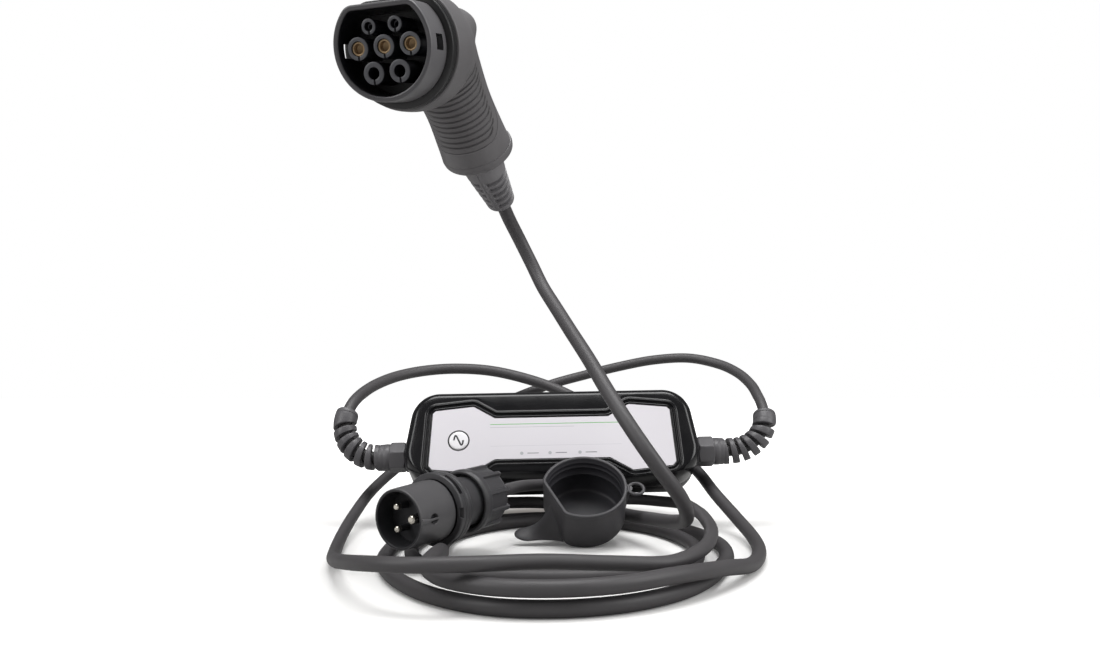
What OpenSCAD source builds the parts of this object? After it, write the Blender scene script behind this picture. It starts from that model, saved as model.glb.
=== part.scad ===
/* [Cables] */
// Outer diameter of the cable to the vehicle connector
gun_cable_d = 10.8; // [9.5:0.1:11]
// Outer diameter of the cable to the mains plug
plug_cable_d = 9.8; // [9:0.1:10]

/* [Control box] */
// Width of the control box
box_w = 252; // [244:1:256]
// Height of the control box along its face
box_h = 80; // [78:1:82]
// Depth of the control box
box_d = 60; // [56:1:62]
// Radius of the box's corners, seen from the front
box_r = 18; // [14:1:20]
// Wall thickness of the box
box_wall = 3.2; // [2.6:0.2:3.6]
// How far the box leans back
box_lean = 25; // [20:1:28]

/* [Vehicle connector] */
// Outer radius of the connector's round sleeve
sleeve_r = 32; // [31.5:0.1:32.5]
// Height of the sleeve's flat top above its centre
sleeve_flat = 24.5; // [23:0.5:26]
// Wall thickness of the sleeve
sleeve_wall = 2.6; // [2:0.2:3]
// Radius of the bore in the power contacts
power_bore_r = 3; // [2.9:0.05:3.1]
// Angle between the connector's head and its grip
grip_angle = 45; // [40:1:50]
// Number of grooves moulded across the grip
grip_grooves = 12; // [8:1:13]

/* [Mains plug] */
// Radius of the plug's shroud
shroud_r = 22; // [21.5:0.1:22.5]
// Radius of the line pins
line_pin_r = 2.5; // [2.4:0.05:2.6]
// Radius of the earth pin
earth_pin_r = 3.5; // [3.4:0.05:3.6]
// Number of grip ribs round the plug's gland nut
nut_ribs = 10; // [6:1:12]

/* [Cable glands] */
// Distance across the flats of the gland nuts
gland_af = 24; // [22:1:26]
// Turns in each spiral bend guard
guard_turns = 6; // [5:1:7]
// Outer radius of the spiral
guard_r = 10.4; // [9.5:0.1:11]

/* [Hidden] */
$fn = 48;

// The object stands at this shift from the routes' own origin
stand = [-5, 95.6, 0];
box_at = [2.5, 0, 50];
box_roll = 1.2;
gun_at = [-99, -266, 335.5];
gun_yaw = -17;
gun_pitch = 15;
plug_at = [-107, -158, 39];
plug_yaw = -33;
plug_pitch = 2.7;
cap_at = [28, -60, 50.1];
cap_tilt = 37.4;

// Route of the vehicle cable, from the left gland to the connector's boot
gun_route = [
    [-146.2, 31.7, 63.1], [-157, 31.7, 63], [-168, 32, 65], [-178, 33, 71], [-185, 36, 80],
    [-188, 40, 91], [-187, 46, 102], [-184, 57, 112], [-178, 76, 121], [-168, 98, 129],
    [-152, 122, 136], [-128, 142, 141], [-98, 154, 143], [-64, 158, 141], [-30, 154, 134],
    [4, 146, 123], [38, 133, 107], [72, 116, 89], [107, 97, 70], [136, 68, 50], [149, 24, 31],
    [160, -18, 16], [164, -64, 8], [158, -110, 6], [142, -156, 7], [116, -198, 14], [80, -237, 18.5],
    [42, -262, 18.5], [4, -272, 18.5], [-34, -268, 18.5], [-64, -248, 18.5], [-79, -216, 18.5],
    [-80, -188, 18], [-77, -157, 17.2], [-80, -130, 8.2], [-83, -100, 5.8], [-84, -64, 5.7],
    [-76, -26, 5.7], [-53, 8, 5.7], [-20, 31, 5.7], [20, 35, 5.7], [58, 22, 5.7], [88, -6, 5.7],
    [106, -44, 5.7], [113, -90, 5.7], [105, -138, 5.7], [80, -170, 5.7], [42, -185, 5.7],
    [2, -189, 5.7], [-38, -184, 5.7], [-75, -167, 5.7], [-98, -134, 5.7], [-107, -88, 5.7],
    [-102, -44, 5.7], [-86, -8, 5.7], [-60, 24, 5.7], [-24, 45, 5.7], [20, 49, 5.7], [62, 38, 5.7],
    [98, 12, 5.7], [122, -28, 5.7], [134, -74, 5.7], [132, -118, 5.7], [120, -158, 5.7],
    [104, -196, 5.7], [80, -230, 5.7], [46, -256, 5.7], [6, -268, 5.7], [-36, -263, 5.7],
    [-74, -236, 5.7], [-103, -192, 5.7], [-120, -142, 5.7], [-123, -90, 5.9], [-116, -40, 7],
    [-95, 4, 14], [-64, 38, 19], [-26, 53, 19.3], [12, 45, 19.3], [42, 16, 20], [65, -28, 21],
    [81, -72, 25], [94, -114, 30], [98, -144, 38], [91, -167, 55], [74, -176, 78], [57, -165, 103],
    [42, -143, 128], [29, -116, 152], [16, -90, 174], [5, -67, 193], [-6, -47, 212], [-15, -38, 231],
    [-25, -39, 251], [-33, -51, 266], [-37.2, -63.9, 274.7]];

// Route of the mains cable, from the right gland to the plug
plug_route = [
    [150, 34.3, 68.7], [160, 34.4, 68.9], [171, 34, 70], [181, 34, 74], [190, 36, 81], [196, 40, 91],
    [198, 47, 101], [198, 57, 110], [197, 70, 118], [195, 90, 128], [187, 113, 139], [171, 134, 148],
    [143, 151, 154], [108, 160, 152], [72, 166, 145], [36, 169, 136], [0, 167, 126], [-42, 162, 110],
    [-84, 152, 88], [-122, 132, 66], [-150, 98, 46], [-166, 52, 30], [-171, 0, 17], [-170, -54, 8],
    [-163, -108, 6], [-151, -162, 12], [-133, -212, 21], [-110, -249, 28], [-80, -267, 31],
    [-44, -264, 31], [-4, -248, 29], [38, -234, 25], [76, -219, 22], [102, -190, 25], [115, -150, 29],
    [118, -100, 31], [119, -56, 29], [120, -20, 26.5], [119, 8, 24.5], [113, 27, 23], [101, 42, 22],
    [84, 49, 22.5], [66, 47, 23.5], [46, 36, 28], [24, 16, 36.2], [2, -8, 43.5], [-22, -32, 46],
    [-38, -52, 45], [-50, -70, 44]];

// Where each piece of the box lies, from its front face inwards
plate_deep = 1.5;
cover_front = 4;
seam_y = 36;
board_y = 12;
board_t = 1.6;
button_r = 8.6;
button_at = [-83, 35];
lens_at = [-27, -2, 24.5];
lens_z = 22;
gland_y = 23.2;
gland_z = 28.4;
gland_seat = 125;
boss_at = [[-108, 14], [-108, 62], [108, 14], [108, 62], [0, 9], [0, 71]];
post_at = [[-84, 16], [-84, 60], [84, 16], [84, 60]];

// Where each piece of the connector lies, from its front face backwards
collar_y = 3;
floor_y = 27;
seal_y = [27, 33];
socket_y = 46;
grip_from = 75;
insert_end = 92;
ring_from = 112;
grip_end = 121;
boot_end = 160;
power_at = [[0, 0], [-17, 0], [17, 0]];
spare_at = [[-8.5, -14.7], [8.5, -14.7]];
control_at = [[-8.5, 11.8], [8.5, 11.8]];
power_collar_r = 6.7;
control_collar_r = 4.55;

// Where each piece of the plug lies, from its face backwards
shroud_end = 36;
carrier_y = 16;
pin_root = 0.4;
ring_end = 54;
nut_from = 72;
plug_end = 105;

function unit(v) = v / norm(v);

// Point on the smooth curve through a route's points, u counts points from its start
function route_at(pts, u) =
    let(i = max(0, min(floor(u), len(pts) - 2)), t = u - i, b = pts[i], c = pts[i + 1],
        a = i == 0 ? 2 * b - c : pts[i - 1],
        d = i + 2 == len(pts) ? 2 * c - b : pts[i + 2])
    0.5 * (2 * b + (c - a) * t + (2 * a - 5 * b + 4 * c - d) * t * t
        + (3 * b - a - 3 * c + d) * t * t * t);

function route_dir(pts, u) =
    unit(route_at(pts, min(u + 0.02, len(pts) - 1)) - route_at(pts, max(u - 0.02, 0)));

// Point beside the curve at radius r and angle q, measured from the side away from the viewer
function beside(pts, u, r, q) =
    let(t = route_dir(pts, u), n = unit(cross(t, [0, 1, 0])), b = cross(t, n))
    route_at(pts, u) + r * (n * cos(q) + b * sin(q));

// Frames carried along a route without twisting, one for each point
function carried(pts, i, n) =
    i == len(pts) ? [] :
    let(t = route_dir(pts, i), m = unit(n - t * (n * t))) concat([m], carried(pts, i + 1, m));

// A quad between two rings' points, as two triangles
function quad(a, b, c, d) = [[a, b, c], [a, c, d]];

// Faces that skin a stack of closed rings of n points each, with flat ends
function skin_faces(rings, n) = concat(
    [[for (j = [n - 1:-1:0]) j]],
    [for (i = [0:rings - 2]) for (j = [0:n - 1]) for (f = quad(i * n + j, i * n + (j + 1) % n,
        (i + 1) * n + (j + 1) % n, (i + 1) * n + j)) f],
    [[for (j = [0:n - 1]) (rings - 1) * n + j]]);

module skin(rings) {
    n = len(rings[0]);
    polyhedron([for (ring = rings) for (p = ring) p],
        [for (f = skin_faces(len(rings), n)) [for (k = [len(f) - 1:-1:0]) f[k]]], convexity = 8);
}

module cable(pts, d) {
    sides = 8;
    side = carried(pts, 0, [0, 0.1, 1]);
    skin([for (i = [0:len(pts) - 1]) let(t = route_dir(pts, i), n = side[i], b = cross(t, n))
        [for (k = [0:sides - 1]) let(q = 360 * k / sides) pts[i] + d / 2 * (n * cos(q) + b * sin(q))]]);
}

// Frames of the four assemblies
module at_box() translate(box_at + stand) rotate([-box_lean, 0, 0]) rotate([0, -box_roll, 0]) children();
module at_gun() translate(gun_at + stand) rotate([0, 0, gun_yaw]) rotate([gun_pitch, 0, 0]) children();
module at_grip() at_gun() translate([0, grip_from, 0]) rotate([-grip_angle, 0, 0]) children();
module at_plug() translate(plug_at + stand) rotate([0, 0, plug_yaw]) rotate([plug_pitch, 0, 0]) children();
module at_cap() translate(cap_at + stand) rotate([cap_tilt, 0, 0]) children();

// A flat outline drawn in x and z, given depth from y0 to y1
module slab(y0, y1) translate([0, y1, 0]) rotate([90, 0, 0]) linear_extrude(y1 - y0) children();
module rod(x, z, y0, y1, r) translate([x, y0, z]) rotate([-90, 0, 0]) cylinder(r = r, h = y1 - y0);
module turned() rotate([-90, 0, 0]) rotate_extrude() children();

// A circle of radius r cut flat at the given height, with rounded corners
module flat_top(r, flat, corner) {
    corner_x = sqrt(pow(r - corner, 2) - pow(flat - corner, 2));
    difference() {
        circle(r);
        polygon([[0, 0], [9 * corner_x, 9 * (flat - corner)], [-9 * corner_x, 9 * (flat - corner)]]);
    }
    for (side = [-1, 1]) translate([side * corner_x, flat - corner]) circle(corner);
    translate([-corner_x, 0]) square([2 * corner_x, flat]);
}

// Four rounded posts whose hull is the box's tapered outline, drawn in by inset
module box_posts(y0, y1, inset) {
    r = box_r - inset;
    for (side = [-1, 1]) {
        rod(side * (box_w / 2 - box_r), box_r, y0, y1, r, $fn = 32);
        rod(side * (box_w / 2 - box_r - 3), box_h - box_r, y0, y1, r, $fn = 32);
    }
}

// Outline of the window in the bezel: wide ends joined by a narrow waist
module panel_outline(grow) {
    half = [[51, 55.6], [70, 67], [104, 63.5], [106.6, 61], [109, 12], [106, 8.6], [71, 5], [51, 17]];
    offset(r = grow, $fn = 24) offset(r = -3, $fn = 24) offset(r = 3, $fn = 24)
        polygon(concat(half, [for (i = [len(half) - 1:-1:0]) [-half[i][0], half[i][1]]]));
}

module front_cover() color([0.09, 0.09, 0.1]) at_box() {
    difference() {
        hull() {
            box_posts(0, 0.6, 5);
            box_posts(2.6, 3, 1.6);
            box_posts(7, seam_y, 0);
        }
        hull() box_posts(cover_front, seam_y + 1, box_wall);
        slab(-1, plate_deep) panel_outline(0.3);
        slab(-1, 1) difference() {
            panel_outline(4.2);
            panel_outline(2.4);
        }
        rod(button_at[0], button_at[1], -1, 6, button_r + 0.1);
        for (x = lens_at) rod(x, lens_z, -1, 6, 1.5);
        for (side = [-1, 1]) {
            translate([0, gland_y, gland_z]) rotate([0, side * 90, 0]) cylinder(r = 10, h = 140);
            translate([side * gland_seat, gland_y, gland_z]) rotate([0, side * 90, 0])
                cylinder(r = 15, h = 10);
        }
    }
    slab(-1.2, 0.5) difference() {
        panel_outline(5.6);
        panel_outline(4.2);
    }
    for (p = boss_at) difference() {
        rod(p[0], p[1], cover_front - 0.5, seam_y, 4.2);
        rod(p[0], p[1], 12, seam_y + 1, 1.5);
    }
    for (p = post_at) difference() {
        rod(p[0], p[1], cover_front - 0.5, board_y, 3.4);
        rod(p[0], p[1], 6, board_y + 1, 1.1);
    }
}

module back_cover() color([0.11, 0.11, 0.12]) at_box() {
    difference() {
        hull() {
            box_posts(seam_y, box_d - 7, 0);
            box_posts(box_d - 3, box_d - 2.6, 1.6);
            box_posts(box_d - 0.6, box_d, 5);
        }
        hull() box_posts(seam_y - 1, box_d - 3, box_wall);
        for (p = boss_at) {
            rod(p[0], p[1], seam_y - 1, box_d + 1, 1.7);
            rod(p[0], p[1], box_d - 4, box_d + 1, 3.4);
        }
    }
    for (p = boss_at) difference() {
        rod(p[0], p[1], seam_y, box_d - 2.5, 4.2);
        rod(p[0], p[1], seam_y - 1, box_d + 1, 1.7);
        rod(p[0], p[1], box_d - 4, box_d + 1, 3.4);
    }
}

module cover_seal() color([0.2, 0.2, 0.2]) at_box() difference() {
    hull() box_posts(seam_y - 1.2, seam_y + 1.2, box_wall);
    hull() box_posts(seam_y - 2, seam_y + 2, box_wall + 1.6);
}

module label_plate() color([0.9, 0.89, 0.9]) at_box() difference() {
    slab(0.2, plate_deep) panel_outline(0);
    rod(button_at[0], button_at[1], -1, 3, button_r + 0.4);
    for (x = lens_at) rod(x, lens_z, -1, 3, 1.5);
}

module mode_button() color([0.92, 0.92, 0.93]) at_box() translate([button_at[0], 0, button_at[1]]) {
    turned() polygon([[0, -0.7], [7.6, -0.7], [button_r, 0.1], [button_r, 4.2], [10.2, 4.2],
        [10.2, 5.4], [2, 5.4], [2, 8.8], [0, 8.8]]);
}

module button_switch() color([0.15, 0.15, 0.16]) at_box() {
    translate([button_at[0] - 6, board_y - 2.2, button_at[1] - 6]) cube([12, 2.2, 12]);
}

module indicator_lenses() color([0.8, 0.82, 0.84]) at_box() for (x = lens_at) {
    rod(x, lens_z, 0.1, 8, 1.5);
    rod(x, lens_z, cover_front, cover_front + 1.2, 2.6);
}

module circuit_board() color([0.1, 0.35, 0.18]) at_box() difference() {
    translate([-92, board_y, 9]) cube([184, board_t, 58]);
    for (p = post_at) rod(p[0], p[1], board_y - 1, board_y + 3, 1.4);
    translate([-9, board_y - 1, 0]) cube([18, 5, 16]);
    translate([-9, board_y - 1, 63]) cube([18, 5, 16]);
}

module power_relays() color([0.1, 0.1, 0.11]) at_box() for (x = [18, 44]) {
    translate([x, board_y + board_t, 24]) cube([20, 16, 28]);
}

module supply_parts() color([0.85, 0.75, 0.3]) at_box() {
    translate([-52, board_y + board_t, 26]) cube([28, 18, 24]);
    for (x = [-16, -3]) rod(x, 40, board_y + board_t, board_y + board_t + 20, 5.5);
    translate([72, board_y + board_t, 24]) cube([10, 12, 30]);
}

module current_sensor() color([0.12, 0.12, 0.13]) at_box() translate([-72, 24, 38]) difference() {
    translate([-6, 24 - gland_y - 11.2, -13]) cube([12, 24, 26]);
    rotate([0, 90, 0]) cylinder(r = 7, h = 20, center = true);
}

module screw(y0, y1, shaft, head_r, head_h) {
    rod(0, 0, y0, y1 - head_h, shaft);
    difference() {
        rod(0, 0, y1 - head_h, y1, head_r);
        translate([-head_r * 0.6, y1 - 1, -0.35]) cube([head_r * 1.2, 2, 0.7]);
        translate([-0.35, y1 - 1, -head_r * 0.6]) cube([0.7, 2, head_r * 1.2]);
    }
}

module board_screws() color([0.7, 0.7, 0.72]) at_box() for (p = post_at) {
    translate([p[0], 0, p[1]]) screw(6.5, board_y + board_t + 1.6, 1.1, 2.4, 1.6);
}

module cover_screws() color([0.35, 0.35, 0.37]) at_box() for (p = boss_at) {
    translate([p[0], 0, p[1]]) screw(24, box_d - 1.8, 1.5, 2.9, 2.2);
}

// Everything on a gland is drawn along its own axis, outwards from the box's seat
module at_gland(side) at_box() translate([side * gland_seat, gland_y, gland_z])
    rotate([0, side * 90, 0]) children();

module gland_body(side) color([0.16, 0.16, 0.17]) at_gland(side) difference() {
    union() {
        rotate([0, 0, 30]) cylinder(d = gland_af / cos(30), h = 7, $fn = 6);
        translate([0, 0, -14]) cylinder(r = 10, h = 15);
        cylinder(r = 8.6, h = 14);
    }
    translate([0, 0, -15]) cylinder(r = 7, h = 40);
}

module gland_locknuts() color([0.16, 0.16, 0.17]) for (side = [-1, 1]) at_gland(side) difference() {
    translate([0, 0, -10]) cylinder(d = 27, h = 4.5, $fn = 6);
    translate([0, 0, -11]) cylinder(r = 10, h = 6);
}

module gland_seal(side, d) color([0.25, 0.25, 0.26]) at_gland(side) difference() {
    translate([0, 0, 8]) cylinder(r = 7, h = 15);
    translate([0, 0, 7]) cylinder(r = d / 2 - 0.6, h = 20);
}

// One turn of wire after another, rectangular in section, wound on the cable's own curve
module guard_spiral(pts, u0, u1) {
    steps = 20;
    wire = 0.18;
    inner = 6.3;
    skin([for (i = [0:guard_turns * steps]) let(f = i / (guard_turns * steps), u = u0 + (u1 - u0) * f,
        q = 360 * i / steps, outer = guard_r + 1.6 * (1 - f)) [beside(pts, u - wire, inner, q),
        beside(pts, u + wire, inner, q), beside(pts, u + wire, outer, q), beside(pts, u - wire, outer, q)]]);
}

// The sleeve that ends a guard, moulded in one with the last turn
module guard_collar(pts, u0, u1, d) difference() {
    skin([for (u = [u0:(u1 - u0) / 4:u1 + 0.01]) [for (q = [0:15:345]) beside(pts, u, guard_r + 0.1, q)]]);
    skin([for (u = [u0 - 0.15, u0, (u0 + u1) / 2, u1, u1 + 0.15])
        [for (q = [0:30:330]) beside(pts, u, d / 2 + 1, q)]]);
}

module spiral_nut(side, pts, d) color([0.15, 0.15, 0.16]) {
    at_gland(side) difference() {
        union() {
            translate([0, 0, 7.4]) rotate([0, 0, 30]) cylinder(d = gland_af / cos(30), h = 13.6, $fn = 6);
            rotate_extrude() polygon([[0, 21], [12, 21], [12.4, 23], [12.3, 27], [12, 30],
                [11.2, 31.5], [0, 31.5]]);
        }
        translate([0, 0, 7]) cylinder(r = 8.6, h = 7);
        translate([0, 0, 13.9]) cylinder(r = 7, h = 9.1);
        translate([0, 0, 7]) cylinder(r = d / 2 + 0.6, h = 40);
    }
    translate(stand) {
        guard_spiral(pts, 0.66, 5.06);
        guard_collar(pts, 4.9, 6.05, d);
    }
}

module connector_sleeve() color([0.33, 0.33, 0.34]) at_gun() difference() {
    slab(0, socket_y) flat_top(sleeve_r, sleeve_flat, 9);
    slab(-1, floor_y) flat_top(sleeve_r - sleeve_wall, sleeve_flat - sleeve_wall, 7);
    slab(floor_y - 1, socket_y + 1) flat_top(sleeve_r - sleeve_wall - 1, sleeve_flat - sleeve_wall - 1, 6);
    for (side = [-1, 1]) translate([side * sleeve_r - 5, 10, -4.5]) cube([10, 5, 9]);
    turned() polygon([[sleeve_r - 0.8, -1], [sleeve_r + 1, -1], [sleeve_r + 1, 1]]);
}

module collar(x, z, r, bore, front, back) difference() {
    rod(x, z, front, back, r);
    rod(x, z, front - 1, back + 1, bore);
    translate([x - 0.6, front - 1, z - r - 1]) cube([1.2, 4, r - bore + 2]);
}

module contact_block() color([0.07, 0.07, 0.08]) at_gun() {
    difference() {
        slab(floor_y, floor_y + 5)
            flat_top(sleeve_r - sleeve_wall - 1, sleeve_flat - sleeve_wall - 1, 6);
        for (p = concat(power_at, spare_at)) rod(p[0], p[1], 20, 40, power_collar_r - 0.5);
        for (p = control_at) rod(p[0], p[1], 20, 40, control_collar_r - 0.5);
    }
    for (p = power_at) collar(p[0], p[1], power_collar_r, 4.3, collar_y, floor_y + 5);
    for (p = spare_at) collar(p[0], p[1], power_collar_r, 3.6, collar_y, floor_y + 5);
    for (p = control_at) collar(p[0], p[1], control_collar_r, 2.6, collar_y, floor_y + 5);
}

module contact_tube(x, z, r, bore, front) difference() {
    rod(x, z, front, floor_y + 12, r);
    rod(x, z, front - 1, front + 22, bore);
}

module power_contacts() color([0.72, 0.53, 0.3]) at_gun() for (p = power_at) {
    contact_tube(p[0], p[1], 4.3, power_bore_r, collar_y + 1);
}

module control_contacts() color([0.72, 0.53, 0.3]) at_gun() for (p = control_at) {
    contact_tube(p[0], p[1], 2.6, 1.5, collar_y + 4);
}

module sleeve_seal() color([0.05, 0.05, 0.05]) at_gun() difference() {
    slab(seal_y[0], seal_y[1]) flat_top(36.4, 28.4, 12);
    slab(seal_y[0] - 1, seal_y[1] + 1) flat_top(sleeve_r, sleeve_flat, 9);
}

// Rings of the handle: distance back, height, tilt, half width, half depth, height of the flat top
handle_rings = [
    [33, 0, 0, 37.6, 37.6, 29], [44, 0, 0, 38, 38, 29.4], [52, 0, 3, 37.4, 37.4, 29.4],
    [57, -0.5, 10, 34.6, 35, 29], [65, -2, 22, 29.5, 31.4, 29.5], [74, -4.5, 34, 26, 28.5, 28.5],
    [84.5, -9.5, 45, 24.2, 26.4, 26.4], [110, -35, 45, 23.4, 24.4, 24.4],
    [135, -60, 45, 24.6, 24.8, 24.8], [154.2, -79.2, 45, 27, 27, 27]];

function ring_points(ring, sides, draw_in, groove) =
    [for (k = [0:sides - 1]) let(q = -360 * k / sides,
        cut = draw_in + groove * max(0, min(1, 0.6 - 2.5 * sin(q))),
        u = (ring[3] - cut) * cos(q), v = min((ring[4] - cut) * sin(q), ring[5] - cut))
        [u, ring[0] + v * sin(ring[2]), ring[1] + v * cos(ring[2])]];

// A ring part-way down the grip, at s along its axis
function grip_ring(s) =
    let(a = s < 49.5 ? 6 : s < 84.9 ? 7 : 8, from = [13.4, 49.5, 84.9, 112][a - 6],
        to = [13.4, 49.5, 84.9, 112][a - 5], f = (s - from) / (to - from))
    handle_rings[a] * (1 - f) + handle_rings[a + 1] * f;

module handle_form(draw_in) skin([for (ring = handle_rings) ring_points(ring, 30, draw_in, 0)]);

// The front of the grip, from under the head to a rounded lower end, as seen from the side
module insert_region(grow) at_grip() translate([-40, 0, 0]) rotate([90, 0, 90]) linear_extrude(80)
    polygon(concat([[14 - grow, 7 + grow], [14 - grow, -45]], [[insert_end + grow, -45]],
        [for (q = [0:10:90]) [insert_end - 30 + (30 + grow) * cos(q), -23 + (30 + grow) * sin(q)]]));

module handle_housing() color([0.36, 0.36, 0.37]) {
    difference() {
        at_gun() handle_form(0);
        at_gun() slab(30, socket_y) flat_top(sleeve_r, sleeve_flat, 9);
        at_gun() slab(socket_y - 1, socket_y + 12) circle(24);
        intersection() {
            insert_region(0.35);
            difference() {
                at_gun() handle_form(-3);
                at_gun() handle_form(2.6);
            }
        }
        for (s = [24, 100]) at_grip() translate([0, s, 0]) cylinder(r = 2, h = 40);
        for (s = [24, 100]) at_grip() translate([0, s, 20]) cylinder(r = 3.4, h = 20);
    }
    at_gun() difference() {
        hull() for (side = [-1, 1]) {
            translate([side * 17, 92.5, 10.5]) sphere(6.5, $fn = 20);
            translate([side * 20, 70, 19.5]) sphere(6.5, $fn = 20);
            translate([side * 20, 58, 20]) sphere(6, $fn = 20);
        }
        handle_form(0.5);
    }
}

module grip_insert() color([0.28, 0.28, 0.29]) intersection() {
    insert_region(0);
    difference() {
        at_gun() skin([for (ring = concat([ring_points(grip_ring(13.5), 30, 0, 0)],
            [for (i = [0:grip_grooves - 1]) for (e = [[-0.7, 0], [-0.25, 1], [0.25, 1], [0.7, 0]])
                ring_points(grip_ring(26 + 5.4 * i + e[0]), 30, 0, e[1])],
            [ring_points(grip_ring(100), 30, 0, 0)])) ring]);
        at_gun() handle_form(2.6);
    }
}

module grip_end_ring() color([0.34, 0.34, 0.35]) at_grip() difference() {
    translate([0, ring_from + 0.3, 0]) turned()
        polygon([[0, 0], [27, 0], [27.2, 3], [26.4, 6.5], [24, 9], [0, 9]]);
    rod(0, 0, ring_from, grip_end + 2, 12);
}

// Tapered strain relief: slots on both flanks leave a spine along the front and the back
module connector_boot() color([0.2, 0.2, 0.21]) at_grip() difference() {
    union() {
        turned() polygon([[0, ring_from + 0.3], [11.9, ring_from + 0.3], [11.9, grip_end + 0.5],
            [15.5, grip_end + 0.6], [15.5, grip_end + 3], [10.6, boot_end - 5], [9.6, boot_end],
            [0, boot_end]]);
    }
    for (i = [0:4]) translate([0, grip_end + 5.4 + 6 * i, 0]) difference() {
        rod(0, 0, 0, 2.9, 20);
        rod(0, 0, -1, 4, 8.4 - 0.25 * i);
        cube([4.4, 9, 50], center = true);
    }
}

module handle_screws() color([0.5, 0.5, 0.52]) at_grip() for (s = [24, 100]) translate([0, s, 0]) {
    translate([0, 0, 8]) cylinder(r = 1.9, h = 12);
    difference() {
        translate([0, 0, 20]) cylinder(r = 3.3, h = 2.4);
        translate([0, 0, 21]) cylinder(r = 1.6, h = 3, $fn = 6);
    }
}

module plug_shroud() color([0.14, 0.14, 0.15]) at_plug() {
    difference() {
        turned() polygon([[shroud_r - 2.2, 0.4], [shroud_r - 1.8, 0], [shroud_r - 0.4, 0],
            [shroud_r, 0.5], [shroud_r + 0.8, shroud_end], [shroud_r + 1, ring_end - 8],
            [shroud_r - 2.6, ring_end - 8]]);
        translate([shroud_r - 3, -1, -1.2]) cube([3.4, 24, 2.4]);
    }
    difference() {
        translate([shroud_r - 0.6, 0, -2.4]) cube([2.2, 21, 4.8]);
        translate([shroud_r - 3, -1, -1.2]) cube([3.6, 24, 2.4]);
        turned() polygon([[0, -1], [shroud_r - 0.3, -1], [shroud_r + 0.1, 30], [0, 30]]);
    }
}

module pin_carrier() color([0.06, 0.06, 0.07]) at_plug() difference() {
    rod(0, 0, carrier_y, ring_end - 8, shroud_r - 2.6);
    rod(9.3, 0, 15, 60, earth_pin_r + pin_root);
    for (q = [120, 240]) rod(9.3 * cos(q), 9.3 * sin(q), 15, 60, line_pin_r + pin_root);
}

// A pin with a rounded tip, and a thicker root from the carrier's face back
module round_pin(x, z, r) translate([x, 0, z]) turned()
    polygon([[0, 3], [r - 1, 3], [r, 4.4], [r, carrier_y], [r + pin_root, carrier_y],
        [r + pin_root, ring_end - 4], [0, ring_end - 4]]);

module line_pins() color([0.8, 0.76, 0.68]) at_plug() for (q = [120, 240]) {
    round_pin(9.3 * cos(q), 9.3 * sin(q), line_pin_r);
}

module earth_pin() color([0.8, 0.76, 0.68]) at_plug() round_pin(9.3, 0, earth_pin_r);

module plug_ring() color([0.15, 0.15, 0.16]) at_plug() difference() {
    turned() polygon([[shroud_r + 1, 38], [26.6, 38], [27.6, 39], [27.6, 46], [27, 46.6], [26, 46.6],
        [shroud_r + 1, 46]]);
    for (q = [50, 170, 290]) rotate([0, -q, 0]) translate([26.4, 40, -9]) cube([3, 3.2, 18]);
    translate([shroud_r, 37, -3]) cube([7, 5, 6]);
}

module plug_body() color([0.17, 0.17, 0.18]) at_plug() difference() {
    turned() polygon([[0, ring_end - 8], [shroud_r + 1, ring_end - 8], [26, ring_end - 7.4],
        [27, ring_end - 6.6], [26.6, ring_end - 3], [24.4, ring_end], [20.5, ring_end + 1],
        [19.4, nut_from - 6], [19.4, nut_from + 20], [0, nut_from + 20]]);
    turned() polygon([[0, ring_end - 3], [15, ring_end - 3], [15, 80], [9, 80], [9, 100], [0, 100]]);
    rod(9.3, 0, ring_end - 9, 80, earth_pin_r + pin_root);
    for (q = [120, 240]) rod(9.3 * cos(q), 9.3 * sin(q), ring_end - 9, 80, line_pin_r + pin_root);
}

module plug_gland_nut() color([0.15, 0.15, 0.16]) at_plug() difference() {
    union() {
        turned() polygon([[0, nut_from], [22, nut_from], [24.6, nut_from + 2], [24.6, nut_from + 7],
            [23, nut_from + 8.6], [22.2, plug_end - 4], [20, plug_end - 0.6], [0, plug_end]]);
        for (i = [0:nut_ribs - 1]) rotate([0, 360 * (i + 0.5) / nut_ribs, 0])
            translate([-1.6, nut_from + 7, 20]) cube([3.2, plug_end - nut_from - 8, 4]);
    }
    rod(0, 0, nut_from - 1, nut_from + 20, 19.4);
    rod(0, 0, nut_from, plug_end + 1, 9);
}

module plug_gland_seal() color([0.25, 0.25, 0.26]) at_plug() rod(0, 0, nut_from + 9, plug_end, 9);

module cap_outline(r, flat, corner) rotate(116) flat_top(r, flat, corner);

module connector_cap() color([0.24, 0.24, 0.25]) at_cap() {
    $fn = 40;
    difference() {
        hull() {
            translate([0, 0, -33]) linear_extrude(33) cap_outline(34.4, 28, 9);
            translate([0, 0, -38]) linear_extrude(0.4) cap_outline(32.8, 26.4, 8);
            translate([0, 0, -40]) linear_extrude(0.4) cap_outline(29.6, 23.2, 7);
        }
        translate([0, 0, -37]) linear_extrude(50) cap_outline(32, 25.6, 8);
    }
    for (h = [-5, -10, -18]) translate([0, 0, h]) linear_extrude(1) difference() {
        cap_outline(32.4, 26, 8);
        cap_outline(31.3, 24.9, 7.6);
    }
    translate([0, 0, -39.4]) linear_extrude(2.8) difference() {
        hull() {
            translate([-49, -17]) circle(8.5);
            translate([-30, -6]) circle(5);
            translate([-24, -20]) circle(6);
        }
        circle(28);
    }
    translate([41.6, -2, -3.6]) {
        difference() {
            cylinder(r = 8, h = 3.6);
            translate([0, 0, -1]) cylinder(r = 4.8, h = 6);
        }
    }
}

module gun_cable() color([0.24, 0.24, 0.25]) translate(stand) cable(gun_route, gun_cable_d);
module plug_cable() color([0.24, 0.24, 0.25]) translate(stand) cable(plug_route, plug_cable_d);

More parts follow.
